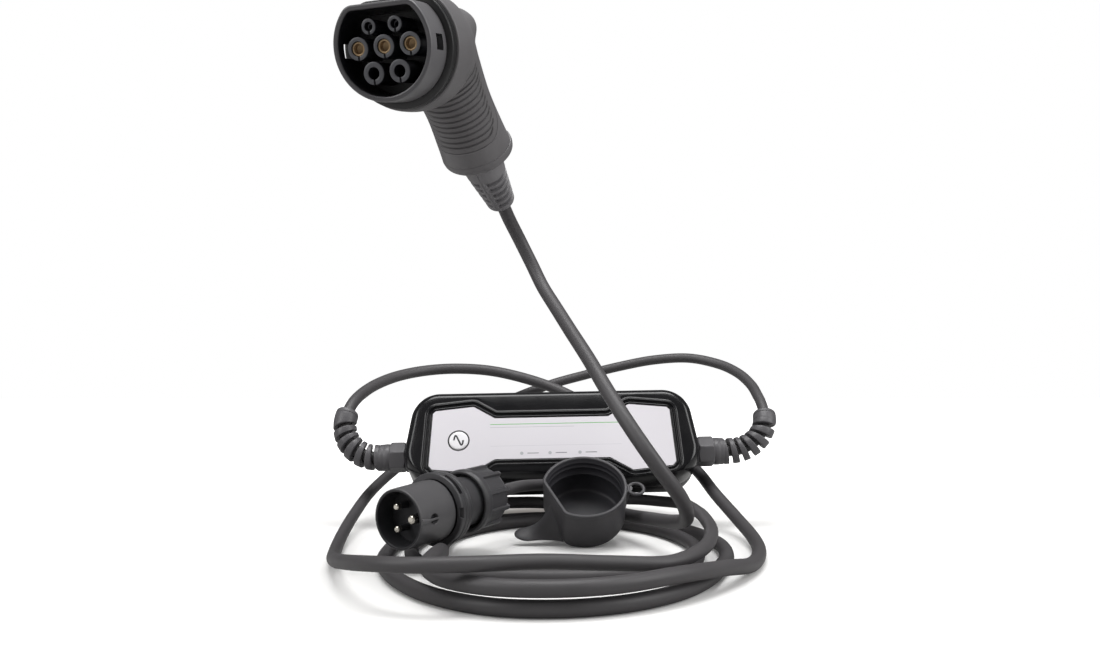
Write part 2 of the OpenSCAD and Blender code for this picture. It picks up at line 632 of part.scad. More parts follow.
front_cover();
back_cover();
cover_seal();
label_plate();
mode_button();
button_switch();
indicator_lenses();
circuit_board();
power_relays();
supply_parts();
current_sensor();
board_screws();
cover_screws();
gland_body(-1);  // gland_body_left
gland_body(1);  // gland_body_right
gland_locknuts();
gland_seal(-1, gun_cable_d);  // gland_seal_left
gland_seal(1, plug_cable_d);  // gland_seal_right
spiral_nut(-1, gun_route, gun_cable_d);  // spiral_nut_left
spiral_nut(1, plug_route, plug_cable_d);  // spiral_nut_right
connector_sleeve();
contact_block();
power_contacts();
control_contacts();
sleeve_seal();
handle_housing();
grip_insert();
grip_end_ring();
connector_boot();
handle_screws();
plug_shroud();
pin_carrier();
line_pins();
earth_pin();
plug_ring();
plug_body();
plug_gland_nut();
plug_gland_seal();
connector_cap();
gun_cable();
plug_cable();
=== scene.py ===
import bmesh
import bpy
import numpy as np
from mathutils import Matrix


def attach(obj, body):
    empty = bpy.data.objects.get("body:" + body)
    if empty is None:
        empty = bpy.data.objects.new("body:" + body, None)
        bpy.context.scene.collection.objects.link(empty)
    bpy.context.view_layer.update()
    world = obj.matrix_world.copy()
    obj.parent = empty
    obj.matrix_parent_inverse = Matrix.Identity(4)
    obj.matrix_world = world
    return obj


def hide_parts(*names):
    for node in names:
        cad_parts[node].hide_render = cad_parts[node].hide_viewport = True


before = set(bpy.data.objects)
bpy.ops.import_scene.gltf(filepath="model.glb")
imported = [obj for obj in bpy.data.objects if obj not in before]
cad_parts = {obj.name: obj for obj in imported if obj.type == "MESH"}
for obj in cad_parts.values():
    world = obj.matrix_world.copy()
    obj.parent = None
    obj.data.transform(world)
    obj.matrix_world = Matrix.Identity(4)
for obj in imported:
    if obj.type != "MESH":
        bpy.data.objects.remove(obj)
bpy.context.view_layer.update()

# placing
placing = {
    "stand": (-5, 95.6, 0),  # shift of the whole object, in mm
    "box": {"at": (2.5, 0, 50), "lean": 25, "roll": 1.2},
    "connector": {"at": (-99, -266, 335.5), "yaw": -17, "pitch": 15},
    "plug": {"at": (-107, -158, 39), "yaw": -33, "pitch": 2.7},
    "cap": {"at": (28, -60, 50.1), "tilt": 37.4},
}


def turned(axis, degrees):
    # rotation matrix about one axis, right-handed
    c, s = np.cos(np.radians(degrees)), np.sin(np.radians(degrees))
    a, b = [(1, 2), (2, 0), (0, 1)]["xyz".index(axis)]
    m = np.eye(3)
    m[a, a], m[a, b], m[b, a], m[b, b] = c, -s, s, c
    return m


def makePlaces():
    # each assembly's place: its origin and its axes as the columns of a matrix
    stand = np.array(placing["stand"], float)
    box, gun, plug, cap = (placing[k] for k in ("box", "connector", "plug", "cap"))
    return {"cords": (stand, np.eye(3)),
            "box": (stand + box["at"], turned("x", -box["lean"]) @ turned("y", -box["roll"])),
            "connector": (stand + gun["at"], turned("z", gun["yaw"]) @ turned("x", gun["pitch"])),
            "plug": (stand + plug["at"], turned("z", plug["yaw"]) @ turned("x", plug["pitch"])),
            "cap": (stand + cap["at"], turned("x", cap["tilt"]))}


places = makePlaces()


def toWorld(points, place):
    # local millimetres to the row frame in metres
    origin, axes = places[place]
    return (np.asarray(points, float) @ axes.T + origin) / 1000


def addObject(name, data):
    obj = bpy.data.objects.new(name, data)
    bpy.context.collection.objects.link(obj)
    return obj


# camera
view = {"at": (0, -810, 150), "lens": 30.34, "shift": 0.0336, "sensor": 36}


def makeCamera():
    data = bpy.data.cameras.new("photoCamera")
    data.lens, data.sensor_width, data.shift_y = view["lens"], view["sensor"], view["shift"]
    cam = addObject("photoCamera", data)
    cam.location = toWorld(view["at"], "cords")
    cam.rotation_euler = (np.pi / 2, 0, 0)
    bpy.context.scene.camera = cam


makeCamera()
print("camera set")

# mesh tools
meshing = {"weld": 4e-6, "sliver": 1e-7, "sharp": 40}  # lengths in metres, and the angle of a sharp edge


def gridFaces(rows, cols, closeRows, skip):
    # quads between neighbouring rows and columns: columns always wrap round, rows where they close
    i, j = np.arange(rows if closeRows else rows - 1), np.arange(cols)
    keep = np.ones((len(i), cols), bool)
    for r0, r1, c0, c1 in skip:
        keep[r0:r1, c0:c1] = False
    i, j = np.meshgrid(i, j, indexing="ij")
    i, j = i[keep], j[keep]
    i2, j2 = (i + 1) % rows, (j + 1) % cols
    return np.stack([i * cols + j, i * cols + j2, i2 * cols + j2, i2 * cols + j], -1)


def part(points, finish=0, closeRows=False, skip=(), capStart=False, capEnd=False):
    # one surface of a piece: a grid of points and how its ends close
    return dict(points=np.asarray(points, float), finish=finish, closeRows=closeRows, skip=skip,
                capStart=capStart, capEnd=capEnd)


def capped(points, finish=0):
    # a surface whose first and last rows are each closed by one face
    return part(points, finish, capStart=True, capEnd=True)


def looped(points, finish=0):
    # a surface whose last row joins its first
    return part(points, finish, closeRows=True)


def makePiece(name, place, parts, looks, stands, body="base", sharp=meshing["sharp"]):
    # joins its surfaces, welds their seams, turns the faces outwards and places the mesh
    verts, faces, marks, first = [], [], [], 0
    for p in parts:
        pts = p["points"]
        rows, cols = pts.shape[:2]
        verts.append(pts.reshape(-1, 3))
        new = (gridFaces(rows, cols, p["closeRows"], p["skip"]) + first).tolist()
        if p["capStart"]:
            new.append(list(range(first, first + cols)))
        if p["capEnd"]:
            new.append(list(range(first + (rows - 1) * cols, first + rows * cols)))
        faces += new
        marks += [p["finish"]] * len(new)
        first += rows * cols
    mesh = bpy.data.meshes.new(name)
    mesh.from_pydata(toWorld(np.concatenate(verts), place).tolist(), [], faces)
    mesh.polygons.foreach_set("material_index", np.array(marks, np.int32))
    mesh.polygons.foreach_set("use_smooth", np.ones(len(faces), bool))
    bm = bmesh.new()
    bm.from_mesh(mesh)
    bmesh.ops.remove_doubles(bm, verts=bm.verts, dist=meshing["weld"])
    bmesh.ops.dissolve_degenerate(bm, edges=bm.edges, dist=meshing["sliver"])
    bmesh.ops.recalc_face_normals(bm, faces=bm.faces)
    bm.to_mesh(mesh)
    bm.free()
    mesh.set_sharp_from_angle(angle=np.radians(sharp))
    for look in looks:
        mesh.materials.append(finishFor(look))
    obj = addObject(name, mesh)
    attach(obj, body)
    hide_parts(*stands)
    return obj


def softCorners(points, radii, steps=4, closed=False):
    # rounds each corner of a flat line with an arc that touches both of its sides
    p = np.asarray(points, float)
    radii = np.broadcast_to(radii, len(p))
    out = []
    for i in range(len(p)):
        if radii[i] <= 0 or (not closed and i in (0, len(p) - 1)):
            out.append(p[i][None])
            continue
        a, b = p[i - 1] - p[i], p[(i + 1) % len(p)] - p[i]
        la, lb = np.linalg.norm(a), np.linalg.norm(b)
        a, b = a / la, b / lb
        half = 0.5 * np.arccos(np.clip(a @ b, -1, 1))
        if np.sin(2 * half) < 0.02:
            out.append(p[i][None])
            continue
        r = min(radii[i], 0.49 * min(la, lb) * np.tan(half))
        centre = p[i] + (a + b) / np.linalg.norm(a + b) * r / np.sin(half)
        v0, v1 = p[i] + a * r / np.tan(half) - centre, p[i] + b * r / np.tan(half) - centre
        turn = np.pi - 2 * half
        t = np.linspace(0, 1, steps + 1)[:, None]
        out.append(centre + (np.sin((1 - t) * turn) * v0 + np.sin(t * turn) * v1) / np.sin(turn))
    return np.vstack(out)


def circle(sides):
    # angles of a full turn in even steps
    return np.linspace(0, 2 * np.pi, sides, endpoint=False)


def shaped(radius, y, angles):
    # points about the local Y axis where the radius depends on row and angle
    return np.stack([radius * np.cos(angles), np.broadcast_to(y, radius.shape), radius * np.sin(angles)], -1)


def revolved(profile, sides):
    # profile of (radius, distance) carried round the local Y axis
    profile, q = np.asarray(profile, float), circle(sides)
    return shaped(profile[:, :1] + 0 * q, profile[:, 1:], q)


def upright(flat, y):
    # points of the x, z plane put at one distance along Y
    return np.stack([flat[:, 0], np.full(len(flat), float(y)), flat[:, 1]], -1)


def moved(points, x=0, y=0, z=0):
    # the same shape shifted along its axes
    return points + np.array([x, y, z], float)


def alongX(points, side=1):
    # a shape drawn along Y laid along X or against it, without mirroring
    x, y, z = points[..., 0], points[..., 1], points[..., 2]
    return np.stack([side * y, -side * x, z], -1)


def turnBetween(a, b):
    # the shorter turn from b to a, in degrees
    return (a - b + 180) % 360 - 180


def smooth(a, b, x):
    # smooth step from 0 at a to 1 at b
    t = np.clip((x - a) / (b - a), 0, 1)
    return t * t * (3 - 2 * t)


# cable routes
cables = {
    "connectorWidth": 10.8, "plugWidth": 9.8, "sides": 28, "perSpan": 7,
    "connector": [
        (-146.2, 31.7, 63.1), (-157, 31.7, 63), (-168, 32, 65), (-178, 33, 71), (-185, 36, 80),
        (-188, 40, 91), (-187, 46, 102), (-184, 57, 112), (-178, 76, 121), (-168, 98, 129),
        (-152, 122, 136), (-128, 142, 141), (-98, 154, 143), (-64, 158, 141), (-30, 154, 134),
        (4, 146, 123), (38, 133, 107), (72, 116, 89), (107, 97, 70), (136, 68, 50), (149, 24, 31),
        (160, -18, 16), (164, -64, 8), (158, -110, 6), (142, -156, 7), (116, -198, 14), (80, -237, 18.5),
        (42, -262, 18.5), (4, -272, 18.5), (-34, -268, 18.5), (-64, -248, 18.5), (-79, -216, 18.5),
        (-80, -188, 18), (-77, -157, 17.2), (-80, -130, 8.2), (-83, -100, 5.8), (-84, -64, 5.7),
        (-76, -26, 5.7), (-53, 8, 5.7), (-20, 31, 5.7), (20, 35, 5.7), (58, 22, 5.7), (88, -6, 5.7),
        (106, -44, 5.7), (113, -90, 5.7), (105, -138, 5.7), (80, -170, 5.7), (42, -185, 5.7),
        (2, -189, 5.7), (-38, -184, 5.7), (-75, -167, 5.7), (-98, -134, 5.7), (-107, -88, 5.7),
        (-102, -44, 5.7), (-86, -8, 5.7), (-60, 24, 5.7), (-24, 45, 5.7), (20, 49, 5.7), (62, 38, 5.7),
        (98, 12, 5.7), (122, -28, 5.7), (134, -74, 5.7), (132, -118, 5.7), (120, -158, 5.7),
        (104, -196, 5.7), (80, -230, 5.7), (46, -256, 5.7), (6, -268, 5.7), (-36, -263, 5.7),
        (-74, -236, 5.7), (-103, -192, 5.7), (-120, -142, 5.7), (-123, -90, 5.9), (-116, -40, 7),
        (-95, 4, 14), (-64, 38, 19), (-26, 53, 19.3), (12, 45, 19.3), (42, 16, 20), (65, -28, 21),
        (81, -72, 25), (94, -114, 30), (98, -144, 38), (91, -167, 55), (74, -176, 78), (57, -165, 103),
        (42, -143, 128), (29, -116, 152), (16, -90, 174), (5, -67, 193), (-6, -47, 212), (-15, -38, 231),
        (-25, -39, 251), (-33, -51, 266), (-37.2, -63.9, 274.7),
    ],
    "plug": [
        (150, 34.3, 68.7), (160, 34.4, 68.9), (171, 34, 70), (181, 34, 74), (190, 36, 81), (196, 40, 91),
        (198, 47, 101), (198, 57, 110), (197, 70, 118), (195, 90, 128), (187, 113, 139), (171, 134, 148),
        (143, 151, 154), (108, 160, 152), (72, 166, 145), (36, 169, 136), (0, 167, 126), (-42, 162, 110),
        (-84, 152, 88), (-122, 132, 66), (-150, 98, 46), (-166, 52, 30), (-171, 0, 17), (-170, -54, 8),
        (-163, -108, 6), (-151, -162, 12), (-133, -212, 21), (-110, -249, 28), (-80, -267, 31),
        (-44, -264, 31), (-4, -248, 29), (38, -234, 25), (76, -219, 22), (102, -190, 25), (115, -150, 29),
        (118, -100, 31), (119, -56, 29), (120, -20, 26.5), (119, 8, 24.5), (113, 27, 23), (101, 42, 22),
        (84, 49, 22.5), (66, 47, 23.5), (46, 36, 28), (24, 16, 36.2), (2, -8, 43.5), (-22, -32, 46),
        (-38, -52, 45), (-50, -70, 44),
    ],
}


def routeAt(route, u):
    # uniform Catmull-Rom curve through the route's points; u counts points from its start
    p = np.asarray(route, float)
    e = np.vstack([2 * p[0] - p[1], p, 2 * p[-1] - p[-2]])
    u = np.asarray(u, float)
    i = np.clip(np.floor(u).astype(int), 0, len(p) - 2)
    t = (u - i)[..., None]
    a, b, c, d = e[i], e[i + 1], e[i + 2], e[i + 3]
    return 0.5 * (2 * b + (c - a) * t + (2 * a - 5 * b + 4 * c - d) * t**2 + (3 * b - a - 3 * c + d) * t**3)


def routeHeading(route, u):
    # direction of the curve, from two places close to each other on it
    near, last = 0.02, len(route) - 1
    d = routeAt(route, np.minimum(u + near, last)) - routeAt(route, np.maximum(u - near, 0))
    return d / np.linalg.norm(d, axis=-1, keepdims=True)


def besideRoute(route, u, radius, angle):
    # a point beside the curve, at a radius and an angle measured about it
    t = routeHeading(route, u)
    n = np.cross(t, [0, 1, 0])
    n /= np.linalg.norm(n, axis=-1, keepdims=True)
    b = np.cross(t, n)
    angle = angle[..., None]
    return routeAt(route, u) + radius[..., None] * (n * np.cos(angle) + b * np.sin(angle))


def cableTube(route, width):
    # circle of the cable's width carried along its route without twisting
    spans = len(route) - 1
    u = np.linspace(0, spans, spans * cables["perSpan"] + 1)
    centre, t = routeAt(route, u), routeHeading(route, u)
    side = np.zeros_like(t)
    n = np.array([0, 0.1, 1.0])
    for k in range(len(u)):  # carries one side vector from ring to ring
        n = n - t[k] * (n @ t[k])
        n /= np.linalg.norm(n)
        side[k] = n
    b = np.cross(t, side)
    q = circle(cables["sides"])[None, :, None]
    return centre, centre[:, None] + width / 2 * (side[:, None] * np.cos(q) + b[:, None] * np.sin(q))


# finishes
moulded = {"patch": 0.025, "bump": 0.00006, "coatRough": 0.12, "dust": (0.45, 0.44, 0.42, 1)}
tarnish = {"scale": 130, "spread": 0.18, "polish": 0.06, "amount": 0.6, "dark": 0.72, "bump": 0.00003}


def newGroup(name, inputs, outputs):
    # a shader node group with named sockets; returns it with its two end nodes
    g = bpy.data.node_groups.new(name, "ShaderNodeTree")
    for label, kind, value in inputs:
        s = g.interface.new_socket(label, in_out="INPUT", socket_type=kind)
        s.default_value = value
    for label, kind in outputs:
        g.interface.new_socket(label, in_out="OUTPUT", socket_type=kind)
    return g, g.nodes.new("NodeGroupInput"), g.nodes.new("NodeGroupOutput")


def put(tree, kind, **values):
    # a node with its settings and the values of its inputs
    node = tree.nodes.new(kind)
    for key, value in values.items():
        if hasattr(node, key):
            setattr(node, key, value)
        else:
            node.inputs[key.replace("_", " ")].default_value = value
    return node


def maths(tree, what, a, b=0.0, c=0.0):
    # one maths node; its inputs are numbers or sockets
    node = tree.nodes.new("ShaderNodeMath")
    node.operation = what
    for i, v in enumerate((a, b, c)):
        if isinstance(v, (int, float)):
            node.inputs[i].default_value = v
        else:
            tree.links.new(v, node.inputs[i])
    return node.outputs[0]


def noiseOf(tree, coords, scale, detail):
    # one noise node read at the given coordinates
    node = put(tree, "ShaderNodeTexNoise", Scale=scale, Detail=detail, Roughness=0.55)
    tree.links.new(coords, node.inputs["Vector"])
    return node.outputs["Fac"]


def mixColours(tree, fac, a, b):
    # one mix node; its inputs are values or sockets
    node = put(tree, "ShaderNodeMix", data_type="RGBA")
    for key, v in (("Factor", fac), ("A", a), ("B", b)):
        socket = [s for s in node.inputs if s.name == key and s.enabled][0]
        if isinstance(v, (int, float, tuple)):
            socket.default_value = v
        else:
            tree.links.new(v, socket)
    return [s for s in node.outputs if s.enabled][0]


def makeMouldedGroup():
    # moulded plastic or rubber: fine grain, faint flow patches and a little dust where both are strong
    g, gi, go = newGroup("mouldedSurface", [
        ("Colour", "NodeSocketColor", (0.1, 0.1, 0.1, 1)), ("Patch Size", "NodeSocketFloat", 0.03),
        ("Patch Strength", "NodeSocketFloat", 0.1), ("Grain Size", "NodeSocketFloat", 0.0006),
        ("Grain Depth", "NodeSocketFloat", 0.5), ("Roughness", "NodeSocketFloat", 0.5),
        ("Roughness Spread", "NodeSocketFloat", 0.08), ("Dust", "NodeSocketFloat", 0.05)],
        [("Colour", "NodeSocketColor"), ("Roughness", "NodeSocketFloat"), ("Height", "NodeSocketFloat")])
    where = put(g, "ShaderNodeTexCoord").outputs["Object"]

    def noiseAt(size, detail):
        # noise whose scale is one over a socket's size
        node = put(g, "ShaderNodeTexNoise", Detail=detail)
        g.links.new(where, node.inputs["Vector"])
        g.links.new(maths(g, "DIVIDE", 1.0, size), node.inputs["Scale"])
        return node.outputs["Fac"]

    patch = noiseAt(gi.outputs["Patch Size"], 3.0)
    grain = noiseAt(gi.outputs["Grain Size"], 2.0)
    patchOff = maths(g, "MULTIPLY", maths(g, "SUBTRACT", patch, 0.5), gi.outputs["Patch Strength"])
    value = put(g, "ShaderNodeHueSaturation")
    g.links.new(maths(g, "ADD", 1.0, maths(g, "MULTIPLY", patchOff, 2.0)), value.inputs["Value"])
    g.links.new(gi.outputs["Colour"], value.inputs["Color"])
    dusty = maths(g, "MULTIPLY", maths(g, "MULTIPLY", grain, patch), gi.outputs["Dust"])
    g.links.new(mixColours(g, dusty, value.outputs[0], moulded["dust"]), go.inputs["Colour"])
    uneven = maths(g, "SUBTRACT", noiseAt(gi.outputs["Patch Size"], 6.0), 0.5)
    spread = maths(g, "MULTIPLY", maths(g, "MULTIPLY", uneven, gi.outputs["Roughness Spread"]), 2.0)
    g.links.new(maths(g, "ADD", gi.outputs["Roughness"], spread), go.inputs["Roughness"])
    g.links.new(maths(g, "MULTIPLY", grain, gi.outputs["Grain Depth"]), go.inputs["Height"])
    return g


mouldedGroup = makeMouldedGroup()

plastics = {  # colour, roughness, grain size in metres, grain depth, patch strength, dust; one has a coat
    "boxFront": ((0.004, 0.004, 0.005), 0.22, 0.0009, 0.10, 0.10, 0.01),
    "boxBack": ((0.010, 0.010, 0.011), 0.40, 0.0006, 0.5, 0.12, 0.02),
    "gland": ((0.050, 0.049, 0.054), 0.42, 0.0005, 0.6, 0.2, 0.03),
    "guard": ((0.084, 0.081, 0.087), 0.42, 0.0005, 0.5, 0.2, 0.03),
    "handleShell": ((0.126, 0.121, 0.126), 0.43, 0.0005, 0.8, 0.12, 0.03),
    "gripRubber": ((0.112, 0.107, 0.111), 0.55, 0.0004, 1.0, 0.12, 0.03),
    "bootRubber": ((0.165, 0.160, 0.168), 0.5, 0.0005, 0.7, 0.15, 0.04),
    "sleeveShell": ((0.118, 0.115, 0.121), 0.36, 0.0005, 0.6, 0.10, 0.02),
    # the sleeve's rolled rim: the sleeve's own plastic, darker, a painted shade
    "sleeveRimPaintedShade": ((0.066, 0.064, 0.069), 0.30, 0.0005, 0.5, 0.10, 0.02),
    # the sleeve's inside, its window walls and the contact block: near black, painted shade deep in the
    # connector
    "contactFaceInPaintedShade": ((0.006, 0.006, 0.008), 0.34, 0.0006, 0.3, 0.1, 0.01),
    # the collars' front faces: the block's own plastic, lighter, a painted highlight
    "contactCollar": ((0.066, 0.067, 0.075), 0.40, 0.0004, 0.4, 0.15, 0.03),
    "sealRubber": ((0.010, 0.010, 0.011), 0.42, 0.0004, 0.3, 0.1, 0.02),
    "plugShell": ((0.056, 0.055, 0.059), 0.38, 0.0006, 0.7, 0.15, 0.02),
    # the shroud: the plug's own plastic, lighter, a painted highlight
    "plugShroudPaintedHighlight": ((0.088, 0.086, 0.090), 0.34, 0.0006, 0.7, 0.12, 0.02),
    # the plug's inner walls, the pins' shanks, the ring's hidden band and the pin carrier: darker, painted
    # shade
    "plugInnerInPaintedShade": ((0.020, 0.020, 0.023), 0.5, 0.0006, 0.4, 0.1, 0.01),
    "capRubber": ((0.058, 0.056, 0.061), 0.48, 0.0005, 0.8, 0.12, 0.03),
    # the cap's inside: its own rubber, darker, a painted shade
    "capInnerPaintedShade": ((0.040, 0.039, 0.045), 0.5, 0.0005, 0.6, 0.12, 0.01),
    "cable": ((0.056, 0.053, 0.056), 0.5, 0.0007, 0.25, 0.10, 0.03),
    "button": ((0.80, 0.79, 0.81), 0.3, 0.0008, 0.2, 0.03, 0.0),
    "mark": ((0.03, 0.03, 0.035), 0.5, 0.0008, 0.1, 0.1, 0.0),
    "lens": ((0.42, 0.43, 0.45), 0.15, 0.0008, 0.1, 0.05, 0.0, 0.5),
    "sealGrey": ((0.06, 0.06, 0.06), 0.6, 0.0005, 0.5, 0.1, 0.05),
    "innerBlack": ((0.02, 0.02, 0.022), 0.5, 0.0006, 0.3, 0.1, 0.05),
    "innerYellow": ((0.55, 0.45, 0.10), 0.45, 0.0006, 0.3, 0.1, 0.03),
    "boardGreen": ((0.02, 0.12, 0.05), 0.35, 0.0015, 0.2, 0.3, 0.02),
}
metals = {  # colour, roughness, size of the turning marks in metres and, for one, how metallic it is
    "brass": ((0.36, 0.25, 0.14), 0.45, 0.0006, 0.6),
    "nickel": ((0.90, 0.85, 0.76), 0.22, 0.0008),
    "screwSteel": ((0.5, 0.5, 0.52), 0.35, 0.0005),
    "darkSteel": ((0.10, 0.10, 0.11), 0.4, 0.0005),
}


def newFinish(name):
    # a material with its tree and its shader, still without settings
    mat = bpy.data.materials.new(name)
    mat.use_nodes = True
    tree = mat.node_tree
    return mat, tree, tree.nodes["Principled BSDF"]


def addBump(tree, shader, height, distance):
    # leans the shader's normals by a height, whose full step is the distance
    bump = put(tree, "ShaderNodeBump", Distance=distance)
    tree.links.new(height, bump.inputs["Height"])
    tree.links.new(bump.outputs["Normal"], shader.inputs["Normal"])


def makePlastic(name, colour, rough, grain, depth, patch, dust, coat=0.0):
    # the moulded surface with this finish's own values, under a clear coat where it has one
    mat, tree, shader = newFinish(name)
    use = put(tree, "ShaderNodeGroup", node_tree=mouldedGroup)
    for key, value in (("Colour", (*colour, 1)), ("Patch Size", moulded["patch"]), ("Patch Strength", patch),
                       ("Grain Size", grain), ("Grain Depth", depth), ("Roughness", rough), ("Dust", dust)):
        use.inputs[key].default_value = value
    tree.links.new(use.outputs["Colour"], shader.inputs["Base Color"])
    tree.links.new(use.outputs["Roughness"], shader.inputs["Roughness"])
    addBump(tree, shader, use.outputs["Height"], moulded["bump"])
    shader.inputs["Coat Weight"].default_value = coat
    shader.inputs["Coat Roughness"].default_value = moulded["coatRough"]
    return mat


def makeMetal(name, colour, rough, marks, metallic=1.0):
    # turned metal: wide noise dulls its colour and its shine, and fine noise is a slight bump
    mat, tree, shader = newFinish(name)
    where = put(tree, "ShaderNodeTexCoord").outputs["Object"]
    fine, wide = noiseOf(tree, where, 1 / marks, 4.0), noiseOf(tree, where, tarnish["scale"], 3.0)
    shader.inputs["Metallic"].default_value = metallic
    spread = maths(tree, "MULTIPLY_ADD", wide, tarnish["spread"], rough - tarnish["polish"])
    tree.links.new(spread, shader.inputs["Roughness"])
    dark = tuple(v * tarnish["dark"] for v in colour)
    amount = maths(tree, "MULTIPLY", wide, tarnish["amount"])
    tree.links.new(mixColours(tree, amount, (*colour, 1), (*dark, 1)), shader.inputs["Base Color"])
    addBump(tree, shader, fine, tarnish["bump"])
    return mat


label = {  # in millimetres across the box's face: bars are (x0, x1, z0, z1, ink), the ring (x, z, r0, r1)
    "plate": (0.655, 0.634, 0.668), "weave": 0.0011, "weaveAmount": 0.14, "weaveDark": 0.86,
    "cloud": (0.86, 0.86, 0.90), "cloudScale": 28, "cloudAmount": 0.10, "rough": 0.28, "roughSpread": 0.12,
    "bump": 0.00002, "ring": (-83, 35, 8.5, 9.8), "ringInk": (0.05, 0.05, 0.055),
    "bars": [(-55, 62, 49.4, 50.0, (0.10, 0.42, 0.08)), (-55, 20, 46.6, 46.9, (0.33, 0.33, 0.36)),
             (-22, -12, 21.6, 22.4, (0.20, 0.20, 0.22)), (3, 13, 21.6, 22.4, (0.20, 0.20, 0.22)),
             (29.5, 39.5, 21.6, 22.4, (0.20, 0.20, 0.22)), (-55, 62, 29.0, 29.2, (0.45, 0.45, 0.48))],
}


def matrixToEuler(m):
    # XYZ angles of a rotation matrix
    return (np.arctan2(m[2, 1], m[2, 2]), -np.arcsin(m[2, 0]), np.arctan2(m[1, 0], m[0, 0]))


def makeLabelFinish(name):
    # smooth print on a pale plate: plain bars and a ring, drawn where the box's own x and z say
    mat, tree, shader = newFinish(name)
    origin, axes = places["box"]
    where = put(tree, "ShaderNodeTexCoord").outputs["Object"]
    turn = put(tree, "ShaderNodeMapping", vector_type="TEXTURE", Location=tuple(origin / 1000),
               Rotation=matrixToEuler(axes))
    tree.links.new(where, turn.inputs["Vector"])
    split = put(tree, "ShaderNodeSeparateXYZ")
    tree.links.new(turn.outputs[0], split.inputs[0])
    x, z = (maths(tree, "MULTIPLY", split.outputs[k], 1000.0) for k in "XZ")

    def between(value, low, high):
        # 1 where a socket's value lies between two numbers, else 0
        off = maths(tree, "ABSOLUTE", maths(tree, "SUBTRACT", value, (low + high) / 2))
        return maths(tree, "LESS_THAN", off, (high - low) / 2)

    weave = noiseOf(tree, where, 1 / label["weave"], 2.0)
    cloud = maths(tree, "MULTIPLY", noiseOf(tree, where, label["cloudScale"], 2.0), label["cloudAmount"])
    dark = tuple(v * label["weaveDark"] for v in label["plate"])
    woven = maths(tree, "MULTIPLY", weave, label["weaveAmount"])
    colour = mixColours(tree, woven, (*label["plate"], 1), (*dark, 1))
    colour = mixColours(tree, cloud, colour, (*label["cloud"], 1))
    for x0, x1, z0, z1, ink in label["bars"]:
        inside = maths(tree, "MULTIPLY", between(x, x0, x1), between(z, z0, z1))
        colour = mixColours(tree, inside, colour, (*ink, 1))
    ringX, ringZ, r0, r1 = label["ring"]
    dx, dz = maths(tree, "SUBTRACT", x, ringX), maths(tree, "SUBTRACT", z, ringZ)
    away = maths(tree, "SQRT", maths(tree, "MULTIPLY_ADD", dx, dx, maths(tree, "MULTIPLY", dz, dz)))
    colour = mixColours(tree, between(away, r0, r1), colour, (*label["ringInk"], 1))
    tree.links.new(colour, shader.inputs["Base Color"])
    rough = maths(tree, "MULTIPLY_ADD", weave, label["roughSpread"], label["rough"])
    tree.links.new(rough, shader.inputs["Roughness"])
    addBump(tree, shader, weave, label["bump"])
    return mat


finishes = {}


def finishFor(name):
    # each finish is made once, when a piece first asks for it
    if name not in finishes:
        if name in plastics:
            finishes[name] = makePlastic(name, *plastics[name])
        elif name in metals:
            finishes[name] = makeMetal(name, *metals[name])
        else:
            finishes[name] = makeLabelFinish(name)
    return finishes[name]


print("finishes ready")


# cords
def makeCable(name, node, route, width):
    # the sheathed cable, and the line it follows in the row frame
    centre, tube = cableTube(route, width)
    obj = makePiece(name, "cords", [capped(tube)], ["cable"], [node], sharp=60)
    return obj, toWorld(centre, "cords")


connectorCable = makeCable("connectorCable", "gun_cable", cables["connector"], cables["connectorWidth"])
plugCable = makeCable("plugCable", "plug_cable", cables["plug"], cables["plugWidth"])
print("cords laid")

# spiral bend guards and their nuts
guard = {"turns": 6.5, "steps": 36, "halfWidth": 2.45, "inner": 6.3, "outer": 10.4, "taper": 1.6,
         "tip": (5, 0.06), "start": 0.66, "end": 5.42, "collar": (5.32, 6.05), "groove": 0.68,
         "perPoint": 10.7, "seat": 125, "y": 23.2, "z": 28.4, "acrossFlats": 24}


def guardHelix(route):
    # rounded rectangle held at a radius from the cable's own curve while its angle turns in even steps; it
    # thins at both ends with the root of the distance, and its reach falls evenly along the guard
    n = int(guard["turns"] * guard["steps"]) + 1
    f = np.linspace(0, 1, n)[:, None]
    w, low, high = guard["halfWidth"], guard["inner"], guard["outer"] + guard["taper"]
    section = softCorners([(-w, low), (w, low), (w, high), (-w, high)], [0.5, 0.5, 0.7, 0.7], 3, True)
    tipSteps, thinnest = guard["tip"]
    tip = np.clip(np.minimum(f, 1 - f) * n / tipSteps, thinnest, 1) ** 0.5
    along = section[None, :, 0] * tip / guard["perPoint"]
    reach = guard["outer"] + guard["taper"] * (1 - f)
    radius = low + (section[None, :, 1] - low) / (high - low) * (reach - low)
    u = guard["start"] + (guard["end"] - guard["start"]) * f + along
    angle = np.broadcast_to(2 * np.pi * guard["turns"] * f, u.shape)
    return besideRoute(route, u, np.broadcast_to(radius, u.shape), angle)


def guardCollar(route, width):
    # closed ring profile with a fine groove, carried round the cable's curve
    a, b = guard["collar"]
    k = guard["perPoint"]
    m = a + guard["groove"] * (b - a)
    r, bore = (guard["outer"] + 0.1) / k, (width / 2 + 0.9) / k
    line = softCorners([(a, bore), (a, r), (m - 0.03, r), (m, r - 0.4 / k), (m + 0.03, r),
                        (b, r - 0.3 / k), (b, bore)],
                       [0.02, 0.04, 0.01, 0.01, 0.01, 0.06, 0.03], 3, True)
    line = np.vstack([np.linspace(p, q, 5, endpoint=False) for p, q in zip(line, np.roll(line, -1, 0))])
    return besideRoute(route, *np.broadcast_arrays(line[:, :1], line[:, 1:] * k, circle(56)[None]))


def hexRadius(angle, flats):
    # radius of a hexagon: half its width over the cosine of the angle off the nearest flat
    return flats / 2 / np.cos(np.radians((np.degrees(angle) % 60) - 30))


